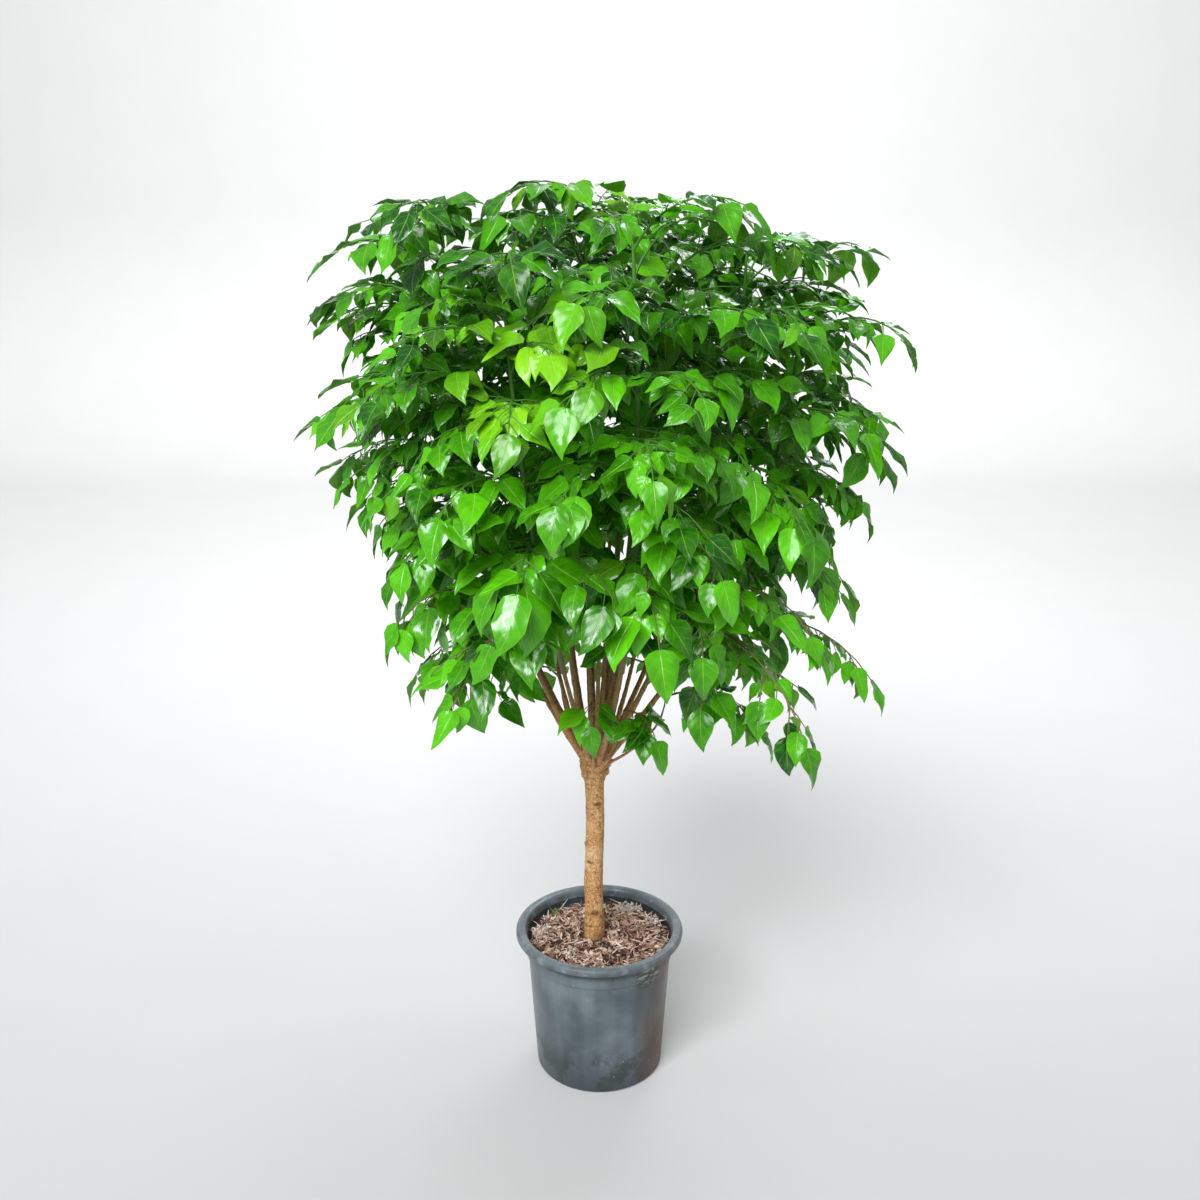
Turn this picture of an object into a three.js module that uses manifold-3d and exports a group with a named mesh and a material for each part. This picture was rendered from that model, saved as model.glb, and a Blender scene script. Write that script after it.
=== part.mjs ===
// A china doll plant (Radermachera sinica) grown as a small tree in a nursery pot.
// Millimetres, +Z up. The origin is the middle of the pot's underside, on the ground.
// The trunk was cut back once, and stems rise from the knuckle there, green above their bark.
// They carry long arching leaves, here called fronds, with leaflets on stalks along a rib.
import * as THREE from "three";
import { mergeVertices } from "three/addons/utils/BufferGeometryUtils.js";
import Module from "manifold-3d";

const wasm = await Module();
wasm.setup();

// ---- Driving dimensions ----
const gap = 0.3; // kept between two pieces that touch

const pot = {
  height: 270,
  rimRadius: 150, // outside of the rolled rim
  rimInner: 129,
  rimDepth: 17,
  collarDepth: 38, // from the top down, the band under the rim
  collarRadius: 131,
  bodyRadius: 129, // under the collar
  footRadius: 114,
  wall: 2.6,
  floorTop: 6,
  hollow: 3, // how far the floor lifts between the middle pad and the foot ring
  padRadius: 50,
  ringInner: 100,
  drainHoles: 6,
  drainRadius: 6,
  drainCircle: 75,
  sides: 32,
};

const soil = {
  top: 249, // height of its middle
  fall: 10, // how much lower it lies at the pot's wall
  lump: 2.6, // height of its lumps
  rings: [0.28, 0.46, 0.64, 0.82],
  sides: 24,
  holeDepth: 75, // of the plain hole that the trunk stands in
};

const trunk = {
  offset: -9, // it stands a little to the left of the pot's middle
  radius: 16.8,
  footRadius: 19,
  crotch: 588, // height at which the stems leave the knuckle
  knuckleRadius: 29,
  sides: 12,
};

const stems = {
  outer: 10,
  inner: 5,
  rootReach: 15, // how far from the trunk's axis an outer stem leaves the knuckle
  outerReach: [235, 330], // how far from the axis their tops stand
  innerReach: [60, 105],
  outerTop: [1410, 1475],
  innerTop: [1420, 1460],
  spread: 2.2, // how soon a stem turns upright
  barkEnds: 0.25, // share of a stem's height at which bark gives way to green
  rootThick: 8, // radii
  barkThick: 5.4,
  tipThick: 2.4,
  sides: 6,
};

// Young shoots low on the knuckle, each with one leaf: azimuth, reach and top of the shoot.
const shoots = [
  { azimuth: -18, reach: 126, top: 728, length: 190 },
  { azimuth: -54, reach: 84, top: 712, length: 100 },
  { azimuth: -92, reach: 82, top: 734, length: 72 },
  { azimuth: 126, reach: 100, top: 714, length: 130 },
];

const crown = {
  seed: 150,
  outline: [ // height, and reach of the leaf tips from the trunk's axis towards -X and +X
    [620, 300, 330],
    [700, 345, 465],
    [810, 362, 490],
    [880, 352, 462],
    [966, 365, 455],
    [1050, 415, 485],
    [1132, 460, 500],
    [1212, 463, 470],
    [1290, 466, 465],
    [1367, 432, 415],
    [1389, 380, 440],
    [1427, 350, 400],
    [1478, 368, 355],
    [1544, 315, 350],
  ],
  outerFronds: 6, // on each outer stem
  innerFronds: 5,
  firstFrond: 0.262, // share of an outer stem's height at which its lowest frond leaves
  firstInner: 0.56,
  bareFront: 0.14, // how much higher the lowest frond leaves on the stems towards -Y
};

const frond = {
  thick: 1.9, // radius of the rib
  steps: 8,
  rise: [9, 62], // degrees above level at which the lowest and the highest leave their stem
  fall: [64, 26], // degrees below level at which they end
  shortest: 150,
  longest: 430,
  pairs: [0.38, 0.6, 0.81], // shares of its length at which pairs of leaflets leave
  splay: [66, 56, 44], // degrees between a pair's stalks and the rib
  stalks: [0.2, 0.17, 0.11], // lengths of the stalks, as shares of the frond's
  shortestStalk: 16,
};

const leaflet = {
  length: 68,
  width: 38,
  widestAt: 0.29, // share of its length
  base: 5, // width where the blade starts
  keel: 2.1, // depth of the midrib under the blade
  root: 5, // length of rib that a stalk grows from
  droop: [8, 30], // degrees lower than its stalk at which the blade starts, and at which it ends
};

const room = { cell: 40, spare: 3, step: 8 };
const swings = [0, 9, -9, 18, -18, 27, -27, 38, -38]; // degrees a piece turns to get clear

const turn = Math.PI / 180;

// ---- Solids ----

// A closed three.js geometry as a manifold-3d solid.
function solidOf(geometry) {
  const bare = new THREE.BufferGeometry()
    .setAttribute("position", geometry.getAttribute("position").clone())
    .setIndex(geometry.index);
  const merged = mergeVertices(bare, 1e-3);
  const corners = [];
  const index = merged.index.array;
  for (let i = 0; i < index.length; i += 3) {
    const [a, b, c] = [index[i], index[i + 1], index[i + 2]];
    if (a !== b && b !== c && c !== a) corners.push(a, b, c);
  }
  const make = (triVerts) =>
    new wasm.Manifold(
      new wasm.Mesh({
        numProp: 3,
        vertProperties: merged.attributes.position.array,
        triVerts: new Uint32Array(triVerts),
      }),
    );
  const made = make(corners);
  return made.volume() < 0 ? make(corners.reverse()) : made;
}

const fuse = (solids) => wasm.Manifold.union(solids);

function meshOf(name, solid, colour, roughness) {
  const { vertProperties, triVerts } = solid.getMesh();
  const geometry = new THREE.BufferGeometry()
    .setAttribute("position", new THREE.BufferAttribute(new Float32Array(vertProperties), 3))
    .setIndex(new THREE.BufferAttribute(new Uint32Array(triVerts), 1));
  geometry.computeVertexNormals();
  const mesh = new THREE.Mesh(
    geometry,
    new THREE.MeshStandardMaterial({ color: colour, roughness, metalness: 0 }),
  );
  mesh.name = name;
  return mesh;
}

// The corners of the triangles between two rings of point numbers. The second may be one tip.
function joinRings(low, high) {
  return low.flatMap((a, k) => {
    const next = low[(k + 1) % low.length];
    if (high.length === 1) return [a, next, high[0]];
    return [a, next, high[(k + 1) % high.length], a, high[(k + 1) % high.length], high[k]];
  });
}

const geometryOf = (points, corners) =>
  new THREE.BufferGeometry()
    .setAttribute("position", new THREE.Float32BufferAttribute(points.flat(), 3))
    .setIndex(corners);

// A closed skin over rings of points, each ring anticlockwise round the way to the next.
function skin(rings) {
  const points = rings.flat();
  const count = rings[0].length;
  const numbers = rings.map((ring, i) => ring.map((_, k) => i * count + k));
  const corners = [];
  for (let k = 2; k < count; k++) corners.push(0, k, k - 1);
  for (let i = 0; i + 1 < rings.length; i++) corners.push(...joinRings(numbers[i], numbers[i + 1]));
  const last = numbers.at(-1);
  for (let k = 2; k < last.length; k++) corners.push(last[0], last[k - 1], last[k]);
  return geometryOf(points, corners);
}

// The skin of a three-sided rib with stalks growing out of it. Each branch stands on the upper
// triangle of one side of the rib's segment there, so that no face is left inside.
function branchedSkin(rings, branches) {
  const points = [];
  const number = (ring) => ring.map((point) => points.push(point) - 1);
  const main = rings.map(number);
  const corners = [main[0][0], main[0][2], main[0][1]];
  for (let i = 0; i + 1 < main.length; i++) {
    const [low, high] = [main[i], main[i + 1]];
    let faces = joinRings(low, high);
    for (const branch of branches.filter(({ segment }) => segment === i)) {
      const first = branch.side > 0 ? 12 : 9;
      faces = faces.map((corner, k) => (k >= first && k < first + 3 ? null : corner));
      const root = branch.side > 0 ? [low[0], high[0], low[2]] : [high[1], low[1], high[2]];
      const grown = [root, ...branch.rings.map(number)];
      for (let k = 0; k + 1 < grown.length; k++) corners.push(...joinRings(grown[k], grown[k + 1]));
    }
    corners.push(...faces.filter((corner) => corner !== null));
  }
  const last = main.at(-1);
  if (last.length === 3) corners.push(...last);
  return geometryOf(points, corners);
}

// ---- Places and directions ----
const mix = (a, b, t) => a + (b - a) * t;
const between = (p, q, t) => [mix(p[0], q[0], t), mix(p[1], q[1], t), mix(p[2], q[2], t)];
const move = (p, way, far) => [p[0] + way[0] * far, p[1] + way[1] * far, p[2] + way[2] * far];
const distance = (p, q) => Math.hypot(p[0] - q[0], p[1] - q[1], p[2] - q[2]);
const heading = (azimuth, rise) => [
  Math.cos(rise) * Math.cos(azimuth),
  Math.cos(rise) * Math.sin(azimuth),
  Math.sin(rise),
];

// A point beside a line that runs along heading(azimuth, rise), at an angle round it from its left.
function beside(centre, azimuth, rise, angle, far) {
  const left = [-Math.sin(azimuth), Math.cos(azimuth), 0];
  const up = heading(azimuth, rise + Math.PI / 2);
  return move(move(centre, left, far * Math.cos(angle)), up, far * Math.sin(angle));
}

function roundRing(place, radius, sides) {
  return Array.from({ length: sides }, (_, k) =>
    beside(place.at, place.azimuth, place.rise, (2 * Math.PI * k) / sides + Math.PI / 6, radius),
  );
}

// A blade's cross-section: its two edges, and its midrib underneath.
function bladeRing(place, roll, width, keel) {
  const at = (angle, far) => beside(place.at, place.azimuth, place.rise, angle + roll, far);
  return [at(0, width / 2), at(Math.PI, width / 2), at(-Math.PI / 2, keel)];
}

// A repeatable random draw, so that the plant grows the same way each time.
function drawFrom(seed) {
  let state = seed;
  const draw = (low, high) => {
    state = (Math.imul(state, 1664525) + 1013904223) >>> 0;
    return low + ((high - low) * state) / 4294967296;
  };
  for (let k = 0; k < 4; k++) draw(0, 1);
  return draw;
}

// ---- Room: small balls that stand for what has already grown, kept in cells ----
const cells = new Map();
const cellOf = (v) => Math.floor(v / room.cell);

function occupy(balls) {
  for (const ball of balls) {
    const key = ball.at.map(cellOf).join();
    if (!cells.has(key)) cells.set(key, []);
    cells.get(key).push(ball);
  }
}

function isClear(balls, mayTouch) {
  return balls.every(({ at, radius }) => {
    const [i, j, k] = at.map(cellOf);
    for (let a = i - 1; a <= i + 1; a++)
      for (let b = j - 1; b <= j + 1; b++)
        for (let c = k - 1; c <= k + 1; c++)
          for (const other of cells.get(`${a},${b},${c}`) ?? [])
            if (!mayTouch(other) && distance(at, other.at) < radius + other.radius + room.spare)
              return false;
    return true;
  });
}

// Balls along a line of points, close enough together that nothing slips between them.
function ballsAlong(points, radius, owner) {
  const balls = [];
  for (let i = 0; i + 1 < points.length; i++) {
    const count = Math.ceil(distance(points[i], points[i + 1]) / room.step);
    for (let k = 0; k < count; k++)
      balls.push({ at: between(points[i], points[i + 1], (k + 0.5) / count), radius, ...owner });
  }
  return balls;
}

// ---- Stems ----
function growStems() {
  const draw = drawFrom(crown.seed);
  const grown = [];
  for (let i = 0; i < stems.outer + stems.inner; i++) {
    const isOuter = i < stems.outer;
    const order = isOuter ? i / stems.outer : (i - stems.outer + 0.5) / stems.inner;
    grown.push({
      index: i,
      name: `leafy_stem_${i + 1}`,
      isOuter,
      azimuth: 2 * Math.PI * order + draw(-5, 5) * turn,
      twist: draw(-10, 10) * turn,
      root: isOuter ? stems.rootReach : stems.rootReach / 3,
      reach: draw(...(isOuter ? stems.outerReach : stems.innerReach)),
      top: draw(...(isOuter ? stems.outerTop : stems.innerTop)),
      thick: draw(0.85, 1.1),
    });
  }
  shoots.forEach((shoot, i) =>
    grown.push({
      ...shoot,
      index: grown.length,
      name: `low_shoot_${i + 1}`,
      isShoot: true,
      azimuth: shoot.azimuth * turn,
      twist: 0,
      root: stems.rootReach + 9,
      thick: 0.45,
    }),
  );
  return grown;
}

function stemPoint(stem, t) {
  const reach = mix(stem.root, stem.reach, 1 - (1 - t) ** stems.spread);
  const azimuth = stem.azimuth + stem.twist * t;
  const height = mix(trunk.crotch, stem.top, t);
  return [reach * Math.cos(azimuth), reach * Math.sin(azimuth), height];
}

function stemPlace(stem, t) {
  const low = stemPoint(stem, t - 0.02);
  const high = stemPoint(stem, Math.min(t + 0.02, 1));
  const way = [high[0] - low[0], high[1] - low[1], high[2] - low[2]];
  return {
    at: stemPoint(stem, t),
    azimuth: Math.atan2(way[1], way[0]),
    rise: Math.atan2(way[2], Math.hypot(way[0], way[1])),
  };
}

function stemRadius(stem, t) {
  const { rootThick, barkThick, tipThick, barkEnds } = stems;
  if (t < barkEnds) return stem.thick * mix(rootThick, barkThick, t / barkEnds);
  return stem.thick * mix(barkThick, tipThick, (t - barkEnds) / (1 - barkEnds));
}

// A length of stem as one solid. Where it follows on from another, it starts clear of that one's end.
function stemSolid(stem, shares, start) {
  const rings = shares.map((t, i) => {
    const place = stemPlace(stem, t);
    if (i === 0) place.at = move(place.at, heading(place.azimuth, place.rise), start);
    return roundRing(place, stemRadius(stem, t), stems.sides);
  });
  return solidOf(skin(rings));
}

// ---- Fronds ----
function crownReach(azimuth, height) {
  const { outline } = crown;
  const above = outline.findIndex(([top]) => top > height);
  const k = above < 0 ? outline.length - 1 : Math.max(1, above);
  const [[low, lowLeft, lowRight], [high, highLeft, highRight]] = [outline[k - 1], outline[k]];
  const share = Math.min(1, Math.max(0, (height - low) / (high - low)));
  const right = (1 + Math.cos(azimuth)) / 2;
  return mix(mix(lowLeft, lowRight, right), mix(highLeft, highRight, right), share);
}

// The line of a frond's rib: it leaves the stem rising, and arches over to hang at its end.
function ribLine(base, azimuth, rise, fall, length) {
  const riseAt = (s) => mix(rise, -fall, s ** 1.15);
  const line = [{ at: base, azimuth, rise }];
  for (let k = 1; k <= frond.steps; k++) {
    const way = heading(azimuth, riseAt((k - 0.5) / frond.steps));
    line.push({
      at: move(line[k - 1].at, way, length / frond.steps),
      azimuth,
      rise: riseAt(k / frond.steps),
    });
  }
  return line;
}

function placeOn(line, share) {
  const along = share * (line.length - 1);
  const k = Math.min(line.length - 2, Math.floor(along));
  return {
    at: between(line[k].at, line[k + 1].at, along - k),
    azimuth: line[k].azimuth,
    rise: mix(line[k].rise, line[k + 1].rise, along - k),
  };
}

// How long a frond grows for its last leaflet to end on the crown's outline.
function frondLength(base, azimuth, rise, fall) {
  const trial = 300;
  const end = ribLine(base, azimuth, rise, fall, trial).at(-1).at;
  const share = Math.hypot(end[0] - base[0], end[1] - base[1]) / trial;
  const already = Math.cos(azimuth) * base[0] + Math.sin(azimuth) * base[1];
  const wanted = crownReach(azimuth, end[2]) - leaflet.length / 2 - already;
  return Math.min(frond.longest, Math.max(frond.shortest, wanted / share));
}

// Where a stem's fronds leave it, and how they are headed.
function frondStarts(stem) {
  if (stem.isShoot)
    return [{ t: 0.97, azimuth: stem.azimuth, rise: 25, fall: 62, length: stem.length, size: 0.9 }];
  const count = stem.isOuter ? crown.outerFronds : crown.innerFronds;
  const bare = crown.bareFront * Math.max(0, -Math.sin(stem.azimuth));
  const first = stem.isOuter ? crown.firstFrond + bare : crown.firstInner;
  return Array.from({ length: count }, (_, k) => {
    const draw = drawFrom(crown.seed + 97 * stem.index + 13 * k);
    const t = mix(first, 1, (k + ((stem.index + 1) % 2) * 0.4) / (count - 0.5)) + draw(-0.01, 0.01);
    const level = (t - crown.firstFrond) / (1 - crown.firstFrond);
    const side = k % 2 ? 1 : -1;
    const aside = k < count - 2 ? draw(8, 24) : draw(24, 62);
    return {
      t: Math.min(t, 0.985),
      azimuth: stem.azimuth + (stem.isOuter ? side * aside : k * 137.5) * turn,
      rise: mix(...frond.rise, level) + draw(-7, 7),
      fall: mix(...frond.fall, level) + draw(-7, 7),
      stretch: stem.isOuter ? draw(0.9, 1.06) : draw(0.5, 0.85),
      size: draw(0.82, 1.2) * mix(1.08, 0.9, level),
    };
  });
}

function growFronds(grown) {
  const fronds = [];
  for (const stem of grown)
    for (const start of frondStarts(stem)) {
      const base = stemPoint(stem, start.t);
      const [rise, fall] = [start.rise * turn, start.fall * turn];
      const owner = { stem: stem.index, frond: fronds.length, isRib: true };
      for (const swing of swings) {
        const azimuth = start.azimuth + swing * turn;
        const length = start.length ?? start.stretch * frondLength(base, azimuth, rise, fall);
        const line = ribLine(base, azimuth, rise, fall, length);
        const clearFrom = between(line[0].at, line[1].at, 0.4);
        const balls = ballsAlong([clearFrom, ...line.slice(1).map((place) => place.at)], 5, owner);
        if (!isClear(balls, (other) => other.frond < 0 && other.stem === stem.index)) continue;
        occupy(balls);
        fronds.push({ ...owner, line, length, size: start.size, draw: drawFrom(31 * fronds.length) });
        break;
      }
    }
  return fronds;
}

// ---- Leaflets ----

// The places of a blade's midrib: its base, its widest and its tip.
function bladeLine(base, azimuth, rise, size) {
  const line = [{ at: base, azimuth, rise }];
  [leaflet.widestAt, 1 - leaflet.widestAt].forEach((share, k) => {
    const lower = Math.max(rise - leaflet.droop[k] * turn, -84 * turn);
    const at = move(line[k].at, heading(azimuth, lower), leaflet.length * size * share);
    line.push({ at, azimuth, rise: lower });
  });
  return line;
}

function bladeRings(line, roll, size) {
  return [
    bladeRing(line[0], roll / 2, leaflet.base, leaflet.keel * 0.6),
    bladeRing(line[1], roll, leaflet.width * size, leaflet.keel),
    [line[2].at],
  ];
}

// Balls over a blade: along its midrib, and along two lines between that and its edges.
function bladeBalls(line, roll, size, owner) {
  const [base, widest, tip] = line;
  const sideLine = (side) => {
    const far = (side * leaflet.width * size) / 3;
    const beyond = between(widest.at, tip.at, 0.6);
    return [
      beside(between(base.at, widest.at, 0.4), widest.azimuth, widest.rise, roll, far * 0.6),
      beside(widest.at, widest.azimuth, widest.rise, roll, far),
      beside(beyond, widest.azimuth, tip.rise, roll, far * 0.4),
      tip.at,
    ];
  };
  const middle = ballsAlong([base.at, widest.at, tip.at], 6.5, owner);
  return [...middle, ...ballsAlong(sideLine(-1), 6.5, owner), ...ballsAlong(sideLine(1), 6.5, owner)];
}

// A leaflet at the end of its stalk, turned until it is clear of all but its own frond's rib.
function growLeaflet(rib, number, from, azimuth, rise, stalk, size, roll) {
  const owner = { stem: rib.stem, frond: rib.frond, number };
  for (const swing of swings) {
    const [aim, slope] = [azimuth + swing * turn, rise - Math.abs(swing / 3) * turn];
    const base = move(from.at, heading(aim, slope), stalk);
    const line = bladeLine(base, aim, slope, size);
    const stalkBalls = stalk ? ballsAlong([between(from.at, base, 0.25), base], 3.5, owner) : [];
    const balls = [...stalkBalls, ...bladeBalls(line, roll, size, owner)];
    if (!isClear(balls, (other) => other.frond === rib.frond && other.isRib)) continue;
    occupy(balls);
    return bladeRings(line, roll, size);
  }
  return null;
}

// The solid of a frond: its rib, which ends in the last leaflet, and pairs of leaflets beside it.
function growFrond(rib) {
  const { draw, line, length } = rib;
  const ribRing = (share) => {
    const place = placeOn(line, share);
    return roundRing(place, frond.thick * mix(1.15, 0.75, share), 3);
  };
  const half = leaflet.root / length / 2;
  const shares = [0, ...frond.pairs.flatMap((share) => [share - half, share + half])];
  const end = line.at(-1);
  const tip = growLeaflet(rib, 0, end, end.azimuth, end.rise, 0, rib.size, draw(-14, 14) * turn);
  const branches = [];
  frond.pairs.forEach((share, pair) => {
    for (const side of [1, -1]) {
      const from = placeOn(line, share);
      const aim = from.azimuth + side * (frond.splay[pair] + draw(-9, 9)) * turn;
      const slope = Math.max(from.rise - draw(0, 20) * turn, -60 * turn);
      const stalk = Math.max(frond.shortestStalk, frond.stalks[pair] * length * draw(0.8, 1.2));
      const size = rib.size * draw(0.82, 1.1);
      const roll = -side * draw(0, 24) * turn;
      const rings = growLeaflet(rib, branches.length + 1, from, aim, slope, stalk, size, roll);
      if (rings) branches.push({ segment: 2 * pair + 1, side, rings });
    }
  });
  const rings = [...shares.map(ribRing), ...(tip ?? [[end.at]])];
  return { ...rib, solid: solidOf(branchedSkin(rings, branches)), leaves: branches.length };
}

// ---- Pot ----
function makePot() {
  const p = pot;
  const under = p.height - p.rimDepth;
  const collar = p.height - p.collarDepth;
  const profile = [
    [0, 0],
    [p.padRadius, 0],
    [p.padRadius + 3, p.hollow],
    [p.ringInner, p.hollow],
    [p.ringInner + 2, 0],
    [p.footRadius - 3, 0],
    [p.footRadius, 4],
    [p.bodyRadius, collar],
    [p.collarRadius, collar + 2],
    [p.collarRadius + 1, under],
    [p.rimRadius - 3, under],
    [p.rimRadius, under + 3],
    [p.rimRadius, p.height - 5],
    [p.rimRadius - 4, p.height],
    [p.rimInner + 2, p.height],
    [p.rimInner, p.height - 3],
    [p.bodyRadius - p.wall, collar - 2],
    [p.footRadius - p.wall, p.floorTop + 2],
    [p.footRadius - p.wall - 3, p.floorTop],
    [0, p.floorTop],
  ];
  const points = profile.map(([x, y]) => new THREE.Vector2(x, y));
  const shell = solidOf(new THREE.LatheGeometry(points, p.sides).rotateX(Math.PI / 2));
  const holes = Array.from({ length: p.drainHoles }, (_, k) => {
    const angle = (2 * Math.PI * (k + 0.5)) / p.drainHoles;
    const drill = new THREE.CylinderGeometry(p.drainRadius, p.drainRadius, 30, 10);
    drill.rotateX(Math.PI / 2);
    drill.translate(p.drainCircle * Math.cos(angle), p.drainCircle * Math.sin(angle), 0);
    return solidOf(drill);
  });
  return shell.subtract(fuse(holes));
}

// ---- Soil ----
const soilHeight = (x, y) => {
  const out = Math.hypot(x, y) / pot.rimInner;
  const lumps = Math.sin(x / 11 + 1.3) * Math.cos(y / 13) + 0.6 * Math.sin((x - 1.7 * y) / 17);
  return soil.top - soil.fall * out ** 2 + soil.lump * lumps;
};

function makeSoil() {
  const holeRadius = (trunk.footRadius + gap) / Math.cos(Math.PI / soil.sides);
  const wallAt = (z) => {
    const [low, high] = [pot.floorTop + 2, pot.height - pot.collarDepth - 2];
    const share = (z - low) / (high - low);
    if (share < 1) return mix(pot.footRadius, pot.bodyRadius, share) - pot.wall;
    const above = (z - high) / (pot.height - 3 - high);
    return mix(pot.bodyRadius - pot.wall, pot.rimInner, above);
  };
  const inside = (radius) => radius * Math.cos(Math.PI / pot.sides) - gap;
  const edge = soil.top - soil.fall - soil.lump;
  const bottom = pot.floorTop + gap;
  const low = pot.floorTop + 2 + gap;
  const bend = pot.height - pot.collarDepth - 2;
  const circle = (radius, z, middle = 0) =>
    Array.from({ length: soil.sides }, (_, k) => {
      const angle = (2 * Math.PI * k) / soil.sides;
      const [x, y] = [middle + radius * Math.cos(angle), radius * Math.sin(angle)];
      return [x, y, z ?? soilHeight(x, y)];
    });
  const holeBottom = soil.top - soil.holeDepth - gap;
  const rings = [
    circle(inside(pot.footRadius - pot.wall) - 4, bottom),
    circle(inside(pot.footRadius - pot.wall), low),
    circle(inside(wallAt(bend)), bend),
    circle(inside(wallAt(edge)), edge),
    ...soil.rings.toReversed().map((share) => circle(share * wallAt(edge))),
    circle(holeRadius, undefined, trunk.offset),
    circle(holeRadius, holeBottom, trunk.offset),
  ];
  return solidOf(skin(rings));
}

// ---- Trunk, with the bark-covered lower lengths of its stems ----
function makeTrunk(grown) {
  const t = trunk;
  const foot = soil.top - soil.holeDepth;
  const bends = [
    [foot, t.footRadius, 0, 0],
    [soil.top + 6, t.footRadius, 0, 0],
    [soil.top + 40, t.radius + 0.8, 0.5, 0],
    [360, t.radius, -1.6, 1],
    [470, t.radius - 0.6, 1.8, -1],
    [540, t.radius, 1, 0],
    [564, t.radius + 5, 0, 0],
    [580, t.knuckleRadius, 0, 0],
    [596, t.knuckleRadius - 2, 0, 0],
    [606, t.knuckleRadius - 12, 0, 0],
  ];
  const rings = bends.map(([z, radius, x, y]) =>
    Array.from({ length: t.sides }, (_, k) => {
      const angle = (2 * Math.PI * k) / t.sides;
      const swell = 1 + (z > 560 ? 0.08 * Math.sin(3 * angle + 1) : 0);
      const far = radius * swell;
      return [x + far * Math.cos(angle), y + far * Math.sin(angle), z];
    }),
  );
  const shares = (stem) => (stem.isShoot ? [-0.2, 0.4, 1] : [-0.12, 0.15, 0.4, 0.7, 1]);
  const woody = grown.map((stem) => {
    const bark = shares(stem).map((share) => share * stems.barkEnds);
    return stemSolid(stem, bark, 0);
  });
  return fuse([solidOf(skin(rings)), ...woody]);
}

// ---- The plant ----
const grown = growStems();
for (const stem of grown) {
  const line = Array.from({ length: 13 }, (_, k) => stemPoint(stem, k / 12));
  occupy(ballsAlong(line, 6, { stem: stem.index, frond: -1 }));
}
const fronds = growFronds(grown).map(growFrond);

const greens = ["#4c7a2a", "#3f6f2b", "#578530", "#47762c", "#3a682a"];
const leafyStems = grown.map((stem) => {
  const shares = stem.isShoot ? [0, 0.5, 1] : [0, 0.2, 0.4, 0.6, 0.8, 1];
  const green = shares.map((share) => mix(stems.barkEnds, 1, share));
  const own = fronds.filter((one) => one.stem === stem.index);
  const whole = fuse([stemSolid(stem, green, gap), ...own.map((one) => one.solid)]);
  return meshOf(stem.name, whole.translate(trunk.offset, 0, 0), greens[stem.index % greens.length], 0.42);
});

const plant = new THREE.Group();
plant.name = "china_doll_plant";
plant.add(
  meshOf("pot", makePot(), "#3c434b", 0.5),
  meshOf("soil", makeSoil(), "#5b4433", 0.95),
  meshOf("trunk", makeTrunk(grown).translate(trunk.offset, 0, 0), "#8d6f52", 0.85),
  ...leafyStems,
);

export default plant;
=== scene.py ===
import math
import random

import bmesh
import bpy
from mathutils import Matrix, Vector


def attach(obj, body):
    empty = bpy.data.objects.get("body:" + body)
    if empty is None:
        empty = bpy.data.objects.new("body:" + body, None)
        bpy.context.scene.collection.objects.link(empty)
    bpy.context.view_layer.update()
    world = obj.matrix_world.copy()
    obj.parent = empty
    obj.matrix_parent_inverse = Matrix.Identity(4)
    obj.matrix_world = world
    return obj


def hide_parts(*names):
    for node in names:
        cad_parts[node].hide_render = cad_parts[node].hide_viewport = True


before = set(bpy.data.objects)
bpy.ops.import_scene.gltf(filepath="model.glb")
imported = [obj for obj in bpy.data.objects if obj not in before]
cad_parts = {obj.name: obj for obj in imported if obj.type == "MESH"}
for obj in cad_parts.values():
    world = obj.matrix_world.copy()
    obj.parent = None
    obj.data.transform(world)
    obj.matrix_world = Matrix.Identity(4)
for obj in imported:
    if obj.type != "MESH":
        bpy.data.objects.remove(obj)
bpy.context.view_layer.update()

mm = 0.001
turn = math.pi / 180


def deselectAll():
    if bpy.context.object and bpy.context.object.mode != "OBJECT":
        bpy.ops.object.mode_set(mode="OBJECT")
    bpy.ops.object.select_all(action="DESELECT")


def workOn(piece):
    deselectAll()
    piece.select_set(True)
    bpy.context.view_layer.objects.active = piece


def named(name):
    piece = bpy.context.object
    piece.name = piece.data.name = name
    return piece


def selectVerts(piece, isChosen):  # in edit mode, by place; returns how many
    mesh = bmesh.from_edit_mesh(piece.data)
    for part in (mesh.verts, mesh.edges, mesh.faces):
        for one in part:
            one.select = False
    mesh.select_mode = {"VERT"}
    for vert in mesh.verts:
        vert.select = bool(isChosen(vert.co))
    mesh.select_flush(True)
    bmesh.update_edit_mesh(piece.data)
    return sum(vert.select for vert in mesh.verts)


def applyModifiers(piece):
    workOn(piece)
    for modifier in list(piece.modifiers):
        bpy.ops.object.modifier_apply(modifier=modifier.name)


def joined(pieces, name):
    workOn(pieces[0])
    for piece in pieces:
        piece.select_set(True)
    bpy.ops.object.join()
    return named(name)


def copyOf(template, place, tones=None):  # a copy with its own mesh, placed in that mesh
    piece = template.copy()
    piece.data = template.data.copy()
    piece.data.transform(place)
    for name, value in (tones or {}).items():
        layer = piece.data.attributes.new(name, "FLOAT", "POINT")
        layer.data.foreach_set("value", [value] * len(piece.data.vertices))
    bpy.context.scene.collection.objects.link(piece)
    return piece


# How the plant grows, in millimetres, by the same rule as its solids.

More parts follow.
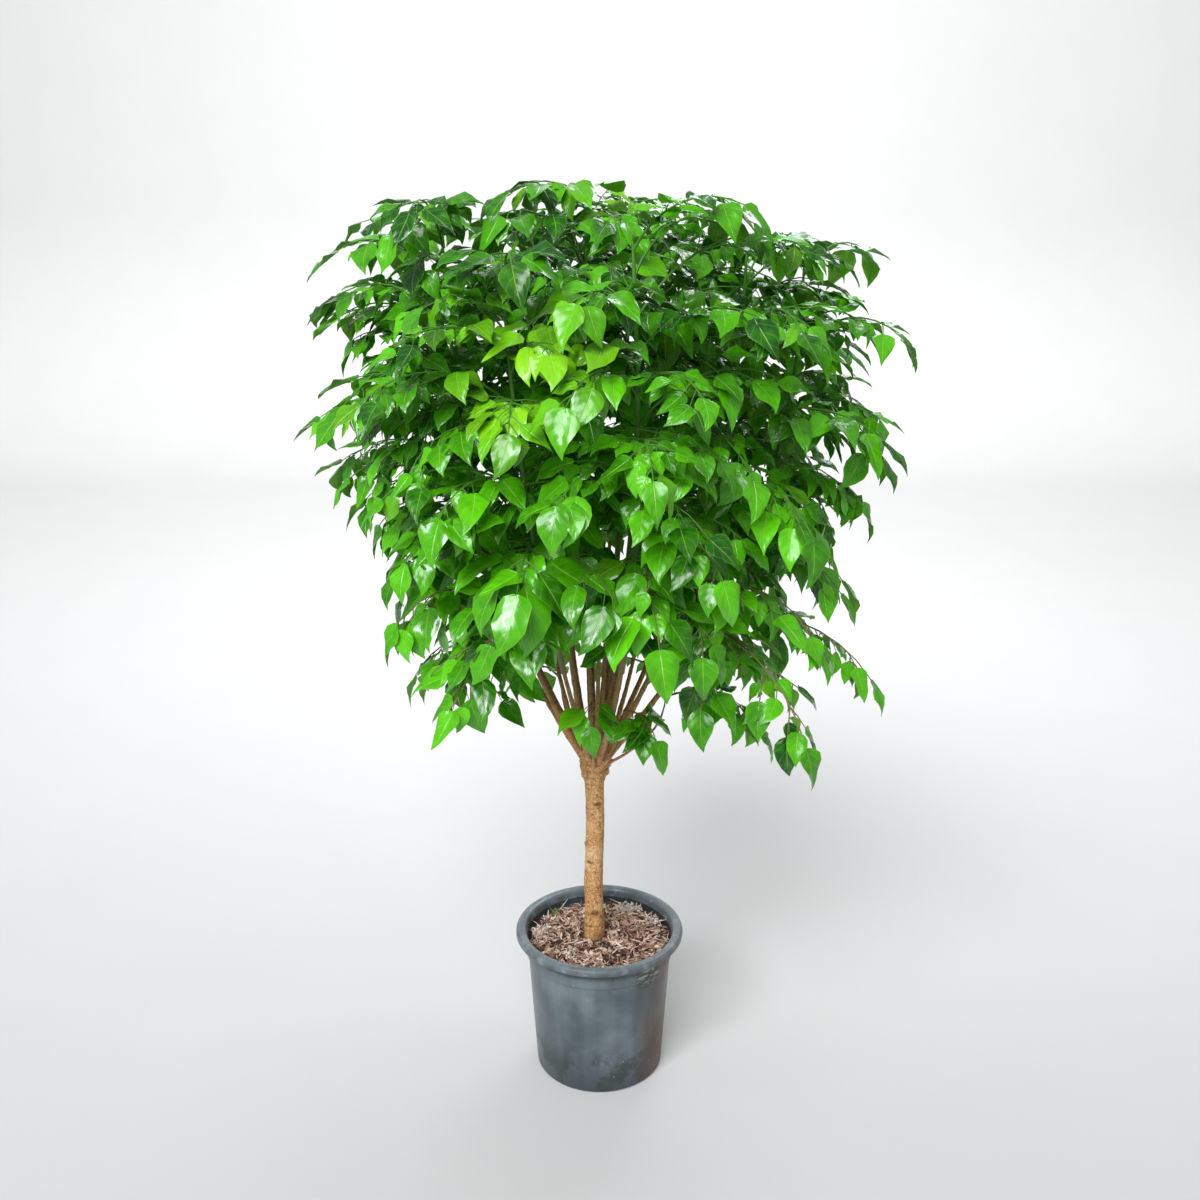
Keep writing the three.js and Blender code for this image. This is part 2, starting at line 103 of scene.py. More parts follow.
trunkSize = {"offset": -9, "crotch": 588}
stemRule = {
    "outer": 10, "inner": 5, "rootReach": 15,
    "outerReach": (235, 330), "innerReach": (60, 105),
    "outerTop": (1410, 1475), "innerTop": (1420, 1460),
    "spread": 2.2, "barkEnds": 0.25,
    "rootThick": 8, "barkThick": 5.4, "tipThick": 2.4,
}
shootRule = [  # azimuth, reach and top of each young shoot, and the length of its leaf
    (-18, 126, 728, 190), (-54, 84, 712, 100), (-92, 82, 734, 72), (126, 100, 714, 130),
]
crownRule = {
    "seed": 150,
    "outline": [  # height, and reach of the leaf tips towards -X and +X
        (620, 300, 330), (700, 345, 465), (810, 362, 490), (880, 352, 462), (966, 365, 455),
        (1050, 415, 485), (1132, 460, 500), (1212, 463, 470), (1290, 466, 465), (1367, 432, 415),
        (1389, 380, 440), (1427, 350, 400), (1478, 368, 355), (1544, 315, 350),
    ],
    "outerFronds": 6, "innerFronds": 5,
    "firstFrond": 0.262, "firstInner": 0.56, "bareFront": 0.14,
}
frondRule = {
    "steps": 8, "rise": (9, 62), "fall": (64, 26),
    "shortest": 150, "longest": 430,
    "pairs": (0.38, 0.6, 0.81), "splay": (66, 56, 44), "stalks": (0.2, 0.17, 0.11),
    "shortestStalk": 16,
}
leafletRule = {"length": 68, "width": 38, "widestAt": 0.29, "droop": (8, 30)}
roomRule = {"cell": 20, "spare": 3, "step": 8}
swings = (0, 9, -9, 18, -18, 27, -27, 38, -38)


def mix(a, b, t):
    return a + (b - a) * t


def between(p, q, t):
    return (mix(p[0], q[0], t), mix(p[1], q[1], t), mix(p[2], q[2], t))


def move(p, way, far):
    return (p[0] + way[0] * far, p[1] + way[1] * far, p[2] + way[2] * far)


def heading(azimuth, rise):
    return (math.cos(rise) * math.cos(azimuth), math.cos(rise) * math.sin(azimuth), math.sin(rise))


def beside(centre, azimuth, rise, angle, far):
    left = (-math.sin(azimuth), math.cos(azimuth), 0)
    up = heading(azimuth, rise + math.pi / 2)
    return move(move(centre, left, far * math.cos(angle)), up, far * math.sin(angle))


def drawFrom(seed):
    state = seed

    def draw(low, high):
        nonlocal state
        state = (state * 1664525 + 1013904223) & 0xFFFFFFFF
        return low + ((high - low) * state) / 4294967296
    for _ in range(4):
        draw(0, 1)
    return draw


room = {}  # balls that stand for what has grown, by cell: (x, y, z, radius, stem, frond, isRib)


def cellOf(v):
    return math.floor(v / roomRule["cell"])


def occupy(balls):
    for ball in balls:
        room.setdefault((cellOf(ball[0]), cellOf(ball[1]), cellOf(ball[2])), []).append(ball)


def isClear(balls, mayTouch, spare=roomRule["spare"]):
    for x, y, z, radius, *_ in balls:
        i, j, k = cellOf(x), cellOf(y), cellOf(z)
        for a in (i - 1, i, i + 1):
            for b in (j - 1, j, j + 1):
                for c in (k - 1, k, k + 1):
                    for other in room.get((a, b, c), ()):
                        near = radius + other[3] + spare
                        dx, dy, dz = x - other[0], y - other[1], z - other[2]
                        if dx * dx + dy * dy + dz * dz < near * near and not mayTouch(other):
                            return False
    return True


def ballsAlong(points, radius, stem, frond, isRib=False):
    balls = []
    for p, q in zip(points, points[1:]):
        count = math.ceil(math.dist(p, q) / roomRule["step"])
        for k in range(count):
            balls.append((*between(p, q, (k + 0.5) / count), radius, stem, frond, isRib))
    return balls


def growStems():
    draw = drawFrom(crownRule["seed"])
    grown = []
    for i in range(stemRule["outer"] + stemRule["inner"]):
        isOuter = i < stemRule["outer"]
        inside = i - stemRule["outer"] + 0.5
        order = i / stemRule["outer"] if isOuter else inside / stemRule["inner"]
        grown.append({
            "index": i, "name": f"leafy_stem_{i + 1}", "isOuter": isOuter, "isShoot": False,
            "azimuth": 2 * math.pi * order + draw(-5, 5) * turn,
            "twist": draw(-10, 10) * turn,
            "root": stemRule["rootReach"] if isOuter else stemRule["rootReach"] / 3,
            "reach": draw(*stemRule["outerReach" if isOuter else "innerReach"]),
            "top": draw(*stemRule["outerTop" if isOuter else "innerTop"]),
            "thick": draw(0.85, 1.1),
        })
    for i, (azimuth, reach, top, length) in enumerate(shootRule):
        grown.append({
            "index": len(grown), "name": f"low_shoot_{i + 1}", "isOuter": False, "isShoot": True,
            "azimuth": azimuth * turn, "twist": 0, "root": stemRule["rootReach"] + 9,
            "reach": reach, "top": top, "thick": 0.45, "length": length,
        })
    return grown


def stemPoint(stem, t):
    reach = mix(stem["root"], stem["reach"], 1 - (1 - t) ** stemRule["spread"])
    azimuth = stem["azimuth"] + stem["twist"] * t
    height = mix(trunkSize["crotch"], stem["top"], t)
    return (reach * math.cos(azimuth), reach * math.sin(azimuth), height)


def stemRadius(stem, t):
    barkEnds = stemRule["barkEnds"]
    if t < barkEnds:
        return stem["thick"] * mix(stemRule["rootThick"], stemRule["barkThick"], t / barkEnds)
    share = (t - barkEnds) / (1 - barkEnds)
    return stem["thick"] * mix(stemRule["barkThick"], stemRule["tipThick"], share)


def crownReach(azimuth, height):
    outline = crownRule["outline"]
    above = next((k for k, ring in enumerate(outline) if ring[0] > height), len(outline) - 1)
    low, high = outline[max(1, above) - 1], outline[max(1, above)]
    share = min(1, max(0, (height - low[0]) / (high[0] - low[0])))
    right = (1 + math.cos(azimuth)) / 2
    return mix(mix(low[1], low[2], right), mix(high[1], high[2], right), share)


def ribLine(base, azimuth, rise, fall, length):
    steps = frondRule["steps"]
    line = [(base, azimuth, rise)]
    for k in range(1, steps + 1):
        way = heading(azimuth, mix(rise, -fall, ((k - 0.5) / steps) ** 1.15))
        place = move(line[-1][0], way, length / steps)
        line.append((place, azimuth, mix(rise, -fall, (k / steps) ** 1.15)))
    return line


def placeOn(line, share):
    along = share * (len(line) - 1)
    k = min(len(line) - 2, math.floor(along))
    (p, azimuth, low), (q, _, high) = line[k], line[k + 1]
    return (between(p, q, along - k), azimuth, mix(low, high, along - k))


def frondLength(base, azimuth, rise, fall):
    trial = 300
    end = ribLine(base, azimuth, rise, fall, trial)[-1][0]
    share = math.hypot(end[0] - base[0], end[1] - base[1]) / trial
    already = math.cos(azimuth) * base[0] + math.sin(azimuth) * base[1]
    wanted = crownReach(azimuth, end[2]) - leafletRule["length"] / 2 - already
    return min(frondRule["longest"], max(frondRule["shortest"], wanted / share))


def frondStarts(stem):
    if stem["isShoot"]:
        return [{"t": 0.97, "azimuth": stem["azimuth"], "rise": 25, "fall": 62,
                 "length": stem["length"], "size": 0.9, "stretch": 1}]
    count = crownRule["outerFronds"] if stem["isOuter"] else crownRule["innerFronds"]
    bare = crownRule["bareFront"] * max(0, -math.sin(stem["azimuth"]))
    first = crownRule["firstFrond"] + bare if stem["isOuter"] else crownRule["firstInner"]
    starts = []
    for k in range(count):
        draw = drawFrom(crownRule["seed"] + 97 * stem["index"] + 13 * k)
        t = mix(first, 1, (k + ((stem["index"] + 1) % 2) * 0.4) / (count - 0.5)) + draw(-0.01, 0.01)
        level = (t - crownRule["firstFrond"]) / (1 - crownRule["firstFrond"])
        side = 1 if k % 2 else -1
        aside = draw(8, 24) if k < count - 2 else draw(24, 62)
        starts.append({
            "t": min(t, 0.985),
            "azimuth": stem["azimuth"] + (side * aside if stem["isOuter"] else k * 137.5) * turn,
            "rise": mix(*frondRule["rise"], level) + draw(-7, 7),
            "fall": mix(*frondRule["fall"], level) + draw(-7, 7),
            "stretch": draw(0.9, 1.06) if stem["isOuter"] else draw(0.5, 0.85),
            "size": draw(0.82, 1.2) * mix(1.08, 0.9, level),
        })
    return starts


def growRib(stem, start, number, spare=roomRule["spare"]):  # at the first clear swing, or None
    base = stemPoint(stem, start["t"])
    rise, fall = start["rise"] * turn, start["fall"] * turn
    for swing in swings:
        azimuth = start["azimuth"] + swing * turn
        length = start.get("length") or start["stretch"] * frondLength(base, azimuth, rise, fall)
        line = ribLine(base, azimuth, rise, fall, length)
        points = [between(line[0][0], line[1][0], 0.4)] + [place[0] for place in line[1:]]
        balls = ballsAlong(points, 5, stem["index"], number, True)
        if isClear(balls, lambda other: other[5] < 0 and other[4] == stem["index"], spare):
            occupy(balls)
            return {"stem": stem["index"], "number": number, "line": line, "length": length,
                    "size": start["size"]}
    return None


def growLeaflet(rib, source, azimuth, rise, stalk, size, roll, spare=roomRule["spare"]):
    for swing in swings:
        aim, slope = azimuth + swing * turn, rise - abs(swing / 3) * turn
        base = move(source, heading(aim, slope), stalk)
        low = [max(slope - droop * turn, -84 * turn) for droop in leafletRule["droop"]]
        long, widestAt = leafletRule["length"] * size, leafletRule["widestAt"]
        widest = move(base, heading(aim, low[0]), long * widestAt)
        tip = move(widest, heading(aim, low[1]), long * (1 - widestAt))
        owner = (rib["stem"], rib["number"])
        balls = ballsAlong([between(source, base, 0.25), base], 3.5, *owner) if stalk else []
        balls += ballsAlong([base, widest, tip], 6.5, *owner)
        for side in (-1, 1):
            far = side * leafletRule["width"] * size / 3
            balls += ballsAlong([
                beside(between(base, widest, 0.4), aim, low[0], roll, far * 0.6),
                beside(widest, aim, low[0], roll, far),
                beside(between(widest, tip, 0.6), aim, low[1], roll, far * 0.4),
                tip,
            ], 6.5, *owner)
        if isClear(balls, lambda other: other[5] == rib["number"] and other[6], spare):
            occupy(balls)
            return {"source": source, "base": base, "aim": aim, "slope": slope, "roll": roll,
                    "size": size, "stalk": stalk}
    return None


def growFrond(rib, spare=roomRule["spare"]):
    draw, line, length = drawFrom(31 * rib["number"]), rib["line"], rib["length"]
    end, azimuth, rise = line[-1]
    last = growLeaflet(rib, end, azimuth, rise, 0, rib["size"], draw(-14, 14) * turn, spare)
    leaflets = [last] if last else []
    for pair, share in enumerate(frondRule["pairs"]):
        for side in (1, -1):
            source, azimuth, rise = placeOn(line, share)
            aim = azimuth + side * (frondRule["splay"][pair] + draw(-9, 9)) * turn
            slope = max(rise - draw(0, 20) * turn, -60 * turn)
            stalk = frondRule["stalks"][pair] * length * draw(0.8, 1.2)
            stalk = max(frondRule["shortestStalk"], stalk)
            size = rib["size"] * draw(0.82, 1.1)
            roll = -side * draw(0, 24) * turn
            grown = growLeaflet(rib, source, aim, slope, stalk, size, roll, spare)
            if grown:
                leaflets.append(grown)
    rib["leaflets"] = leaflets


allStems = growStems()
for stem in allStems:
    occupy(ballsAlong([stemPoint(stem, k / 12) for k in range(13)], 6, stem["index"], -1))
ribs = []
for stem in allStems:
    for start in frondStarts(stem):
        rib = growRib(stem, start, len(ribs))
        if rib:
            ribs.append(rib)
for rib in ribs:
    growFrond(rib)
leafletCount = sum(len(rib["leaflets"]) for rib in ribs)
print("grown:", len(ribs), "fronds,", leafletCount, "leaflets of the solids")


def hexColour(code):  # an sRGB hex value as linear colour
    channels = [int(code[i:i + 2], 16) / 255 for i in (1, 3, 5)]
    return (*(c / 12.92 if c <= 0.04045 else ((c + 0.055) / 1.055) ** 2.4 for c in channels), 1)


def addNode(tree, kind, inputs=None, out=0, stops=None, **settings):  # returns one output
    node = tree.nodes.new("ShaderNode" + kind)
    for name, value in settings.items():
        setattr(node, name, value)
    if stops:  # (place, hex colour) of a colour ramp, low to high
        elements = node.color_ramp.elements
        elements[0].position, elements[1].position = stops[0][0], stops[-1][0]
        elements[0].color, elements[1].color = hexColour(stops[0][1]), hexColour(stops[-1][1])
        for place, code in stops[1:-1]:
            elements.new(place).color = hexColour(code)
    for key, value in (inputs or {}).items():
        if isinstance(value, bpy.types.NodeSocket):
            tree.links.new(value, node.inputs[key])
        else:
            node.inputs[key].default_value = value
    return node.outputs[out]


def newMaterial(name, **sockets):
    material = bpy.data.materials.new(name)
    material.use_nodes = True
    shader = material.node_tree.nodes["Principled BSDF"]
    for socket, value in sockets.items():
        shader.inputs[socket.replace("_", " ")].default_value = value
    return material, material.node_tree, shader


def perMetre(size):  # the scale of a pattern with one feature every so many millimetres
    return 1 / (size * mm)


def layMarks(tree, colour, marks):
    # name: (pattern, the range it is read over, its strength at both ends, its colour, and
    # where it shows: a mask, or 1 for all over); later marks lie over earlier ones
    strengths = {}
    for name, (pattern, start, end, low, high, code, where) in marks.items():
        strength = addNode(tree, "MapRange", {0: pattern, 1: start, 2: end, 3: low, 4: high})
        strength = addNode(tree, "Math", {0: strength, 1: where}, operation="MULTIPLY")
        colour = addNode(tree, "Mix", {0: strength, 6: colour, 7: hexColour(code)}, out=2, data_type="RGBA")
        strengths[name] = strength
    return colour, strengths


leafLook = {  # colours, and sizes in millimetres or as shares of the blade's width
    "mature": "#0f5308", "fresh": "#62cc0c", "young": "#8edb1a", "vein": "#aee05a", "under": "#7fb43c",
    "patches": 25, "patchDepth": 0.16, "underShare": 0.45,
    "veinPairs": 5, "veinSlant": -2.6, "veinStrength": 0.48, "relief": 1.5,
    # the edge range paints a highlight along the blade's margin
    "sideVein": (0, 0.06, 0.45, 0), "midrib": (0.006, 0.03, 1, 0), "edge": (0.46, 0.5, 0, 0.5),
}


def makeLeafMaterials():
    # A living leaf with a waxy cuticle: wet gloss over a saturated green, a paler midrib, and
    # side veins that quilt the blade, and a painted highlight along its edge. The underside is matt and
    # greyer.
    made, look = [], leafLook
    for name, isUnder in (("waxy_leaf_top", False), ("matt_leaf_underside", True)):
        material, tree, shader = newMaterial(
            name, Roughness=0.55 if isUnder else 0.26, IOR=1.45, Subsurface_Weight=0.12,
            Subsurface_Radius=(0.4, 1.0, 0.15), Subsurface_Scale=0.002,
            Coat_Weight=0.0 if isUnder else 0.4, Coat_Roughness=0.1)
        blade = addNode(tree, "UVMap", uv_map="bladePlace")
        along = addNode(tree, "SeparateXYZ", {0: blade})
        across = addNode(tree, "SeparateXYZ", {0: blade}, out=1)
        fromMiddle = addNode(tree, "Math", {0: across, 1: 0.5}, operation="SUBTRACT")
        fromMiddle = addNode(tree, "Math", {0: fromMiddle}, operation="ABSOLUTE")
        tone = addNode(tree, "Attribute", out=2, attribute_name="tone")
        youth = addNode(tree, "Attribute", out=2, attribute_name="youth")
        place = addNode(tree, "TexCoord", out=3)
        cloud = addNode(tree, "TexNoise", {0: place, "Scale": perMetre(look["patches"]), "Detail": 2})
        depth = look["patchDepth"]
        patch = addNode(tree, "MapRange", {0: cloud, 1: 0.3, 2: 0.7, 3: -depth, 4: depth})
        shade = addNode(tree, "Math", {0: tone, 1: patch}, operation="ADD")
        green = addNode(tree, "ValToRGB", {0: shade}, stops=[(0, look["mature"]), (1, look["fresh"])])
        # side veins leave the midrib and slant towards the tip
        rows = addNode(tree, "Math", {0: along, 1: look["veinPairs"]}, operation="MULTIPLY")
        slant = addNode(tree, "Math", {0: fromMiddle, 1: look["veinSlant"], 2: rows},
                        operation="MULTIPLY_ADD")
        wave = addNode(tree, "Math", {0: slant, 1: 0.5}, operation="PINGPONG")
        lines = []
        for source, part in ((wave, "sideVein"), (fromMiddle, "midrib"), (fromMiddle, "edge")):
            start, end, low, high = look[part]
            lines.append(addNode(tree, "MapRange", {0: source, 1: start, 2: end, 3: low, 4: high}))
        sideVein, midrib, edge = lines
        vein = addNode(tree, "Math", {0: midrib, 1: sideVein}, operation="MAXIMUM")
        # painted highlight: the blade's edge is painted paler, in the veins' colour
        pale = addNode(tree, "Math", {0: vein, 1: edge}, operation="MAXIMUM")
        pale = addNode(tree, "Math", {0: pale, 1: look["veinStrength"]}, operation="MULTIPLY")
        colour = green
        layers = [(youth, "young"), (pale, "vein")] + ([(look["underShare"], "under")] if isUnder else [])
        for share, part in layers:
            colour = addNode(tree, "Mix", {0: share, 6: colour, 7: hexColour(look[part])},
                             out=2, data_type="RGBA")
        tree.links.new(colour, shader.inputs["Base Color"])
        hollow = addNode(tree, "Math", {0: midrib, 1: -0.8, 2: wave}, operation="MULTIPLY_ADD")
        bump = addNode(tree, "Bump", {"Strength": 0.55, "Distance": look["relief"] * mm, "Height": hollow})
        tree.links.new(bump, shader.inputs["Normal"])
        made.append(material)
    return made


stemLook = {
    "patches": 16.7, "relief": 0.8, "green": (0.76, 1.15),  # metres: where it starts and is full
    "colours": [(0, "#85744a"), (0.3, "#6b7335"), (0.6, "#57802c"), (1, "#4f8a2b")],
}


def makeStemMaterial():
    # The soft skin of a growing stem: browner and duller low down, yellow-green further up.
    material, tree, shader = newMaterial("green_stem_skin", Roughness=0.48, IOR=1.45)
    place = addNode(tree, "TexCoord", out=3)
    height = addNode(tree, "SeparateXYZ", {0: place}, out=2)
    cloud = addNode(tree, "TexNoise", {0: place, "Scale": perMetre(stemLook["patches"]), "Detail": 3})
    patch = addNode(tree, "MapRange", {0: cloud, 1: 0.3, 2: 0.7, 3: -0.15, 4: 0.15})
    start, end = stemLook["green"]
    high = addNode(tree, "MapRange", {0: height, 1: start, 2: end})
    shade = addNode(tree, "Math", {0: high, 1: patch}, operation="ADD")
    colour = addNode(tree, "ValToRGB", {0: shade}, stops=stemLook["colours"])
    tree.links.new(colour, shader.inputs["Base Color"])
    bump = addNode(tree, "Bump", {"Strength": 0.3, "Distance": stemLook["relief"] * mm, "Height": cloud})
    tree.links.new(bump, shader.inputs["Normal"])
    return material


leafTop, leafUnder = makeLeafMaterials()
greenStem = makeStemMaterial()

leafShape = {
    "length": 68, "width": 42, "rows": 7, "columns": 4,  # millimetres
    "stations": (0, 0.05, 0.17, 0.33, 0.51, 0.69, 0.86, 1),  # each row's place along the blade
    "outline": (0.17, 0.6, 0.93, 1.0, 0.86, 0.55, 0.21, 0.02),  # width at each row, share of the full
    "widths": (0.88, 1.1),  # the kinds differ this much in width
    "arch": (1, 3, 5, 6, 7, 9, 13), "arching": (0.7, 1.3),  # degrees the blade turns down at each row
    "sway": 4, "hook": 3,  # degrees it turns aside at each row, and how many times that near the tip
    "fold": (0.05, 0.15),  # how far the midrib lies under the edges, share of the width
    "quilt": 0.045, "wave": 0.15, "waves": (0.9, 1.7),
    "thick": 0.7, "kinds": 6,
}


def modelLeaf(number):
    look, rng = leafShape, random.Random(40 + number)
    rows, long = look["rows"], look["length"] * mm
    wide = look["width"] * mm * rng.uniform(*look["widths"])
    deselectAll()
    bpy.ops.mesh.primitive_grid_add(x_subdivisions=rows, y_subdivisions=look["columns"], size=1,
                                    location=(0.5, 0, 0))
    leaf = named(f"leaf_{number}")
    bpy.ops.object.transform_apply(location=True)
    leaf.data.uv_layers[0].name = "bladePlace"
    leaf.data.materials.append(leafTop)
    leaf.data.materials.append(leafUnder)
    bpy.ops.object.mode_set(mode="EDIT")
    phase, turns, fold = rng.uniform(0, 6.28), rng.uniform(*look["waves"]), rng.uniform(*look["fold"])
    # the columns lie on the middle and at a quarter and a half of the width either side
    for row, (x, share) in enumerate(zip(look["stations"], look["outline"])):
        selectVerts(leaf, lambda co: abs(co.x - row / rows) < 0.01)
        bpy.ops.transform.translate(value=(x - row / rows, 0, 0))
        for side in (-1, 1):
            selectVerts(leaf, lambda co: abs(co.x - x) < 0.01 and co.y * side > 0.4)
            lift = look["wave"] * share * math.sin(phase + 1.4 * side + turns * 6.28 * x)
            bpy.ops.transform.translate(value=(0, 0, lift))
        selectVerts(leaf, lambda co: abs(co.x - x) < 0.01 and 0.1 < abs(co.y) < 0.4)
        bpy.ops.transform.translate(value=(0, 0, look["quilt"] * share))
        selectVerts(leaf, lambda co: abs(co.x - x) < 0.01 and abs(co.y) < 0.1)
        bpy.ops.transform.translate(value=(0, 0, -fold * share))
        selectVerts(leaf, lambda co: abs(co.x - x) < 0.01)
        bpy.ops.transform.resize(value=(1, share, 1), center_override=(x, 0, 0))
    bpy.ops.mesh.select_all(action="SELECT")
    bpy.ops.transform.resize(value=(long, wide, wide), center_override=(0, 0, 0))
    # the underside is a second sheet, joined to the first all round the edge
    bpy.ops.mesh.duplicate()
    bpy.ops.mesh.flip_normals()
    leaf.active_material_index = 1
    bpy.ops.object.material_slot_assign()
    mesh = bmesh.from_edit_mesh(leaf.data)
    below = [vert.index for vert in mesh.verts if vert.select and not vert.is_boundary]
    bpy.ops.mesh.select_all(action="DESELECT")
    mesh.verts.ensure_lookup_table()
    for index in below:
        mesh.verts[index].select = True
    bpy.ops.transform.translate(value=(0, 0, -look["thick"] * mm))
    bpy.ops.mesh.select_all(action="SELECT")
    bpy.ops.mesh.remove_doubles(threshold=0.02 * mm)
    bend, sway = rng.uniform(*look["arching"]), rng.uniform(-look["sway"], look["sway"])
    for row in range(rows - 1, -1, -1):
        x = look["stations"][row] * long
        selectVerts(leaf, lambda co: co.x > x + 0.1 * mm)
        aside = sway * look["hook"] if row > rows - 3 else sway
        for angle, axis in ((look["arch"][row] * bend, "Y"), (aside, "Z")):
            bpy.ops.transform.rotate(value=-angle * turn, orient_axis=axis, center_override=(x, 0, 0))
    bpy.ops.object.mode_set(mode="OBJECT")
    bpy.ops.object.shade_smooth_by_angle(angle=75 * turn)
    return leaf


leafKinds = [modelLeaf(number) for number in range(leafShape["kinds"])]
print("leaves modelled:", len(leafKinds), "kinds of", len(leafKinds[0].data.polygons), "faces")

fuller = {  # what is too fine for the solids: more leaflets on their stalks, and inner fronds
    "seed": 77, "spare": -5.5,
    "longStalk": 28, "pinnae": (0.32, 0.6, 0.84),  # pairs along each stalk longer than this
    "betweens": (0.24, 0.36, 0.49, 0.7, 0.9),  # pairs along the rib
    # each leaflet's turn aside, drop, stalk, size and roll, and its steepest slope
    "onStalk": ((45, 70), (5, 30), (5, 11), (0.52, 0.84), (0, 30), -110),
    "onRib": ((50, 74), (0, 25), (8, 26), (0.55, 0.9), (0, 26), -60),
    "shootSize": 1.2,
    "innerFronds": 17, "innerStretch": (0.45, 0.9), "innerSize": (0.8, 1.1), "aside": 110,
    "ceiling": 1505, "skirt": (0.19, 0.25),  # the skirt is extra fronds low at the back
    "lowest": 712, "inset": 15, "shootRight": 50, "shootFront": -105,
    "window": (-105, 76, 60, 790, 0.36),  # left, right, back, top and slope of the clear head
}


def isWithin(place, inset=0):  # inside the outline of the crown
    x, y, z = place
    return math.hypot(x, y) < crownReach(math.atan2(y, x), z) - inset


def growInnerFronds(draw):
    grown, count = [], fuller["innerFronds"]
    for stem in allStems[:stemRule["outer"] + stemRule["inner"]]:
        isBack = stem["isOuter"] and math.sin(stem["azimuth"]) > 0.2
        first = crownRule["firstFrond"] + (0.04 if stem["isOuter"] else 0.2)
        levels = [mix(first, 0.97, (k + draw(0.2, 0.8)) / count) for k in range(count)]
        for t in levels + list(fuller["skirt"] if isBack else ()):
            level = (t - crownRule["firstFrond"]) / (1 - crownRule["firstFrond"])
            start = {
                "t": t, "azimuth": stem["azimuth"] + draw(-1, 1) * fuller["aside"] * turn,
                "rise": mix(*frondRule["rise"], level) + draw(-10, 15),
                "fall": mix(*frondRule["fall"], level) + draw(-10, 10),
                "stretch": draw(*fuller["innerStretch"]), "size": draw(*fuller["innerSize"]),
            }
            rib = growRib(stem, start, len(ribs) + len(grown), -3)
            if not rib or max(place[0][2] for place in rib["line"]) >= fuller["ceiling"]:
                continue
            if isWithin(rib["line"][-1][0]):
                growFrond(rib, 0)
                rib["isExtra"] = True
                grown.append(rib)
    return grown


def isAtHead(place):  # in front of the head of the trunk, where the stems show
    left, right, back, top, slope = fuller["window"]
    return left < place[0] < right and place[1] < back and place[2] + slope * place[1] < top


def isOpen(one, rib):
    if allStems[rib["stem"]]["isShoot"]:
        return one["base"][0] > fuller["shootRight"] or one["base"][1] < fuller["shootFront"]
    isInside = isWithin(one["base"], fuller["inset"]) or not one["stalk"]
    return isInside and one["base"][2] > fuller["lowest"] and not isAtHead(one["base"])


def growPair(rib, kind, source, azimuth, rise, size, draw):
    aside, drop, stalk, share, roll, steepest = fuller[kind]
    for side in (1, -1):
        yield growLeaflet(
            rib, source, azimuth + side * draw(*aside) * turn,
            max(rise - draw(*drop) * turn, steepest * turn), draw(*stalk),
            size * draw(*share), -side * draw(*roll) * turn, fuller["spare"])


def growBetween(rib, draw):  # short-stalked leaflets along the rib, and pairs on the long stalks
    solid = 0 if rib.get("isExtra") else len(rib["leaflets"])
    longOnes = [one for one in rib["leaflets"] if one["stalk"] > fuller["longStalk"]]
    larger = fuller["shootSize"] if allStems[rib["stem"]]["isShoot"] else 1
    for one in longOnes:
        for share in fuller["pinnae"]:
            source, size = between(one["source"], one["base"], share), one["size"] * larger
            for grown in growPair(rib, "onStalk", source, one["aim"], one["slope"], size, draw):
                if grown:
                    rib["leaflets"].append({**grown, "twig": one})
    for share in fuller["betweens"]:
        rib["leaflets"] += growPair(rib, "onRib", *placeOn(rib["line"], share), rib["size"] * larger, draw)
    kept = rib["leaflets"][:solid] + [one for one in rib["leaflets"][solid:] if one and isOpen(one, rib)]
    for one in kept[solid:]:
        one["isExtra"] = True
    rib["leaflets"] = [one for one in kept
                       if "twig" not in one or any(one["twig"] is other for other in kept)]


def tubes(name, lines, sides, material):  # lines of (point, radius), in millimetres, as one mesh
    curve = bpy.data.curves.new(name, "CURVE")
    curve.dimensions, curve.bevel_depth, curve.use_fill_caps = "3D", mm, True
    curve.bevel_resolution = sides // 2 - 2
    for line in lines:
        spline = curve.splines.new("POLY")
        spline.points.add(len(line) - 1)
        for point, (place, radius) in zip(spline.points, line):
            point.co = (*[v * mm for v in place], 1)
            point.radius = radius
    piece = bpy.data.objects.new(name, curve)
    bpy.context.scene.collection.objects.link(piece)
    workOn(piece)
    bpy.ops.object.convert(target="MESH")
    piece = named(name)
    piece.data.materials.clear()
    piece.data.materials.append(material)
    bpy.ops.object.shade_smooth_by_angle(angle=60 * turn)
    return piece


def settled(piece):  # seams closed and faces outwards
    workOn(piece)
    bpy.ops.object.mode_set(mode="EDIT")
    bpy.ops.mesh.select_all(action="SELECT")
    bpy.ops.mesh.remove_doubles(threshold=0.01 * mm)
    bpy.ops.mesh.normals_make_consistent(inside=False)
    bpy.ops.object.mode_set(mode="OBJECT")


foliageLook = {
    "ribThick": (2.1, 0.8), "stalkThick": (1.1, 0.85, 0.7), "stalkLift": 0.05,
    "slope": (0.8, -7, -50, 10),  # share of the grown slope, degrees added, and the range kept to
    "outwards": 0.75, "upwards": 0.7, "faceOut": 0.62, "solidFaceOut": 0.5,  # how blades face the light
    "lean": 26, "widths": (0.88, 1.12),
    "bigLeaves": (-90, -330, 960, 140), "bigger": 0.3, "atHead": 0.95,
    "frondTone": 0.14, "leafTone": 0.46, "shootTone": 0.15,
    # painted shade by height: leaves are painted darker towards the top of the crown and lighter lower down
    "paintedShadeByHeight": (1230, 1460, 0.1, -0.16),  # leaves are lighter under the first height
    "youngShoots": [(-90, -350, 1310, 130), (20, -60, 1520, 90), (-320, -80, 1240, 90)],
    "youngChance": 0.05, "youngTint": 0.3,  # a few young leaflets anywhere
}


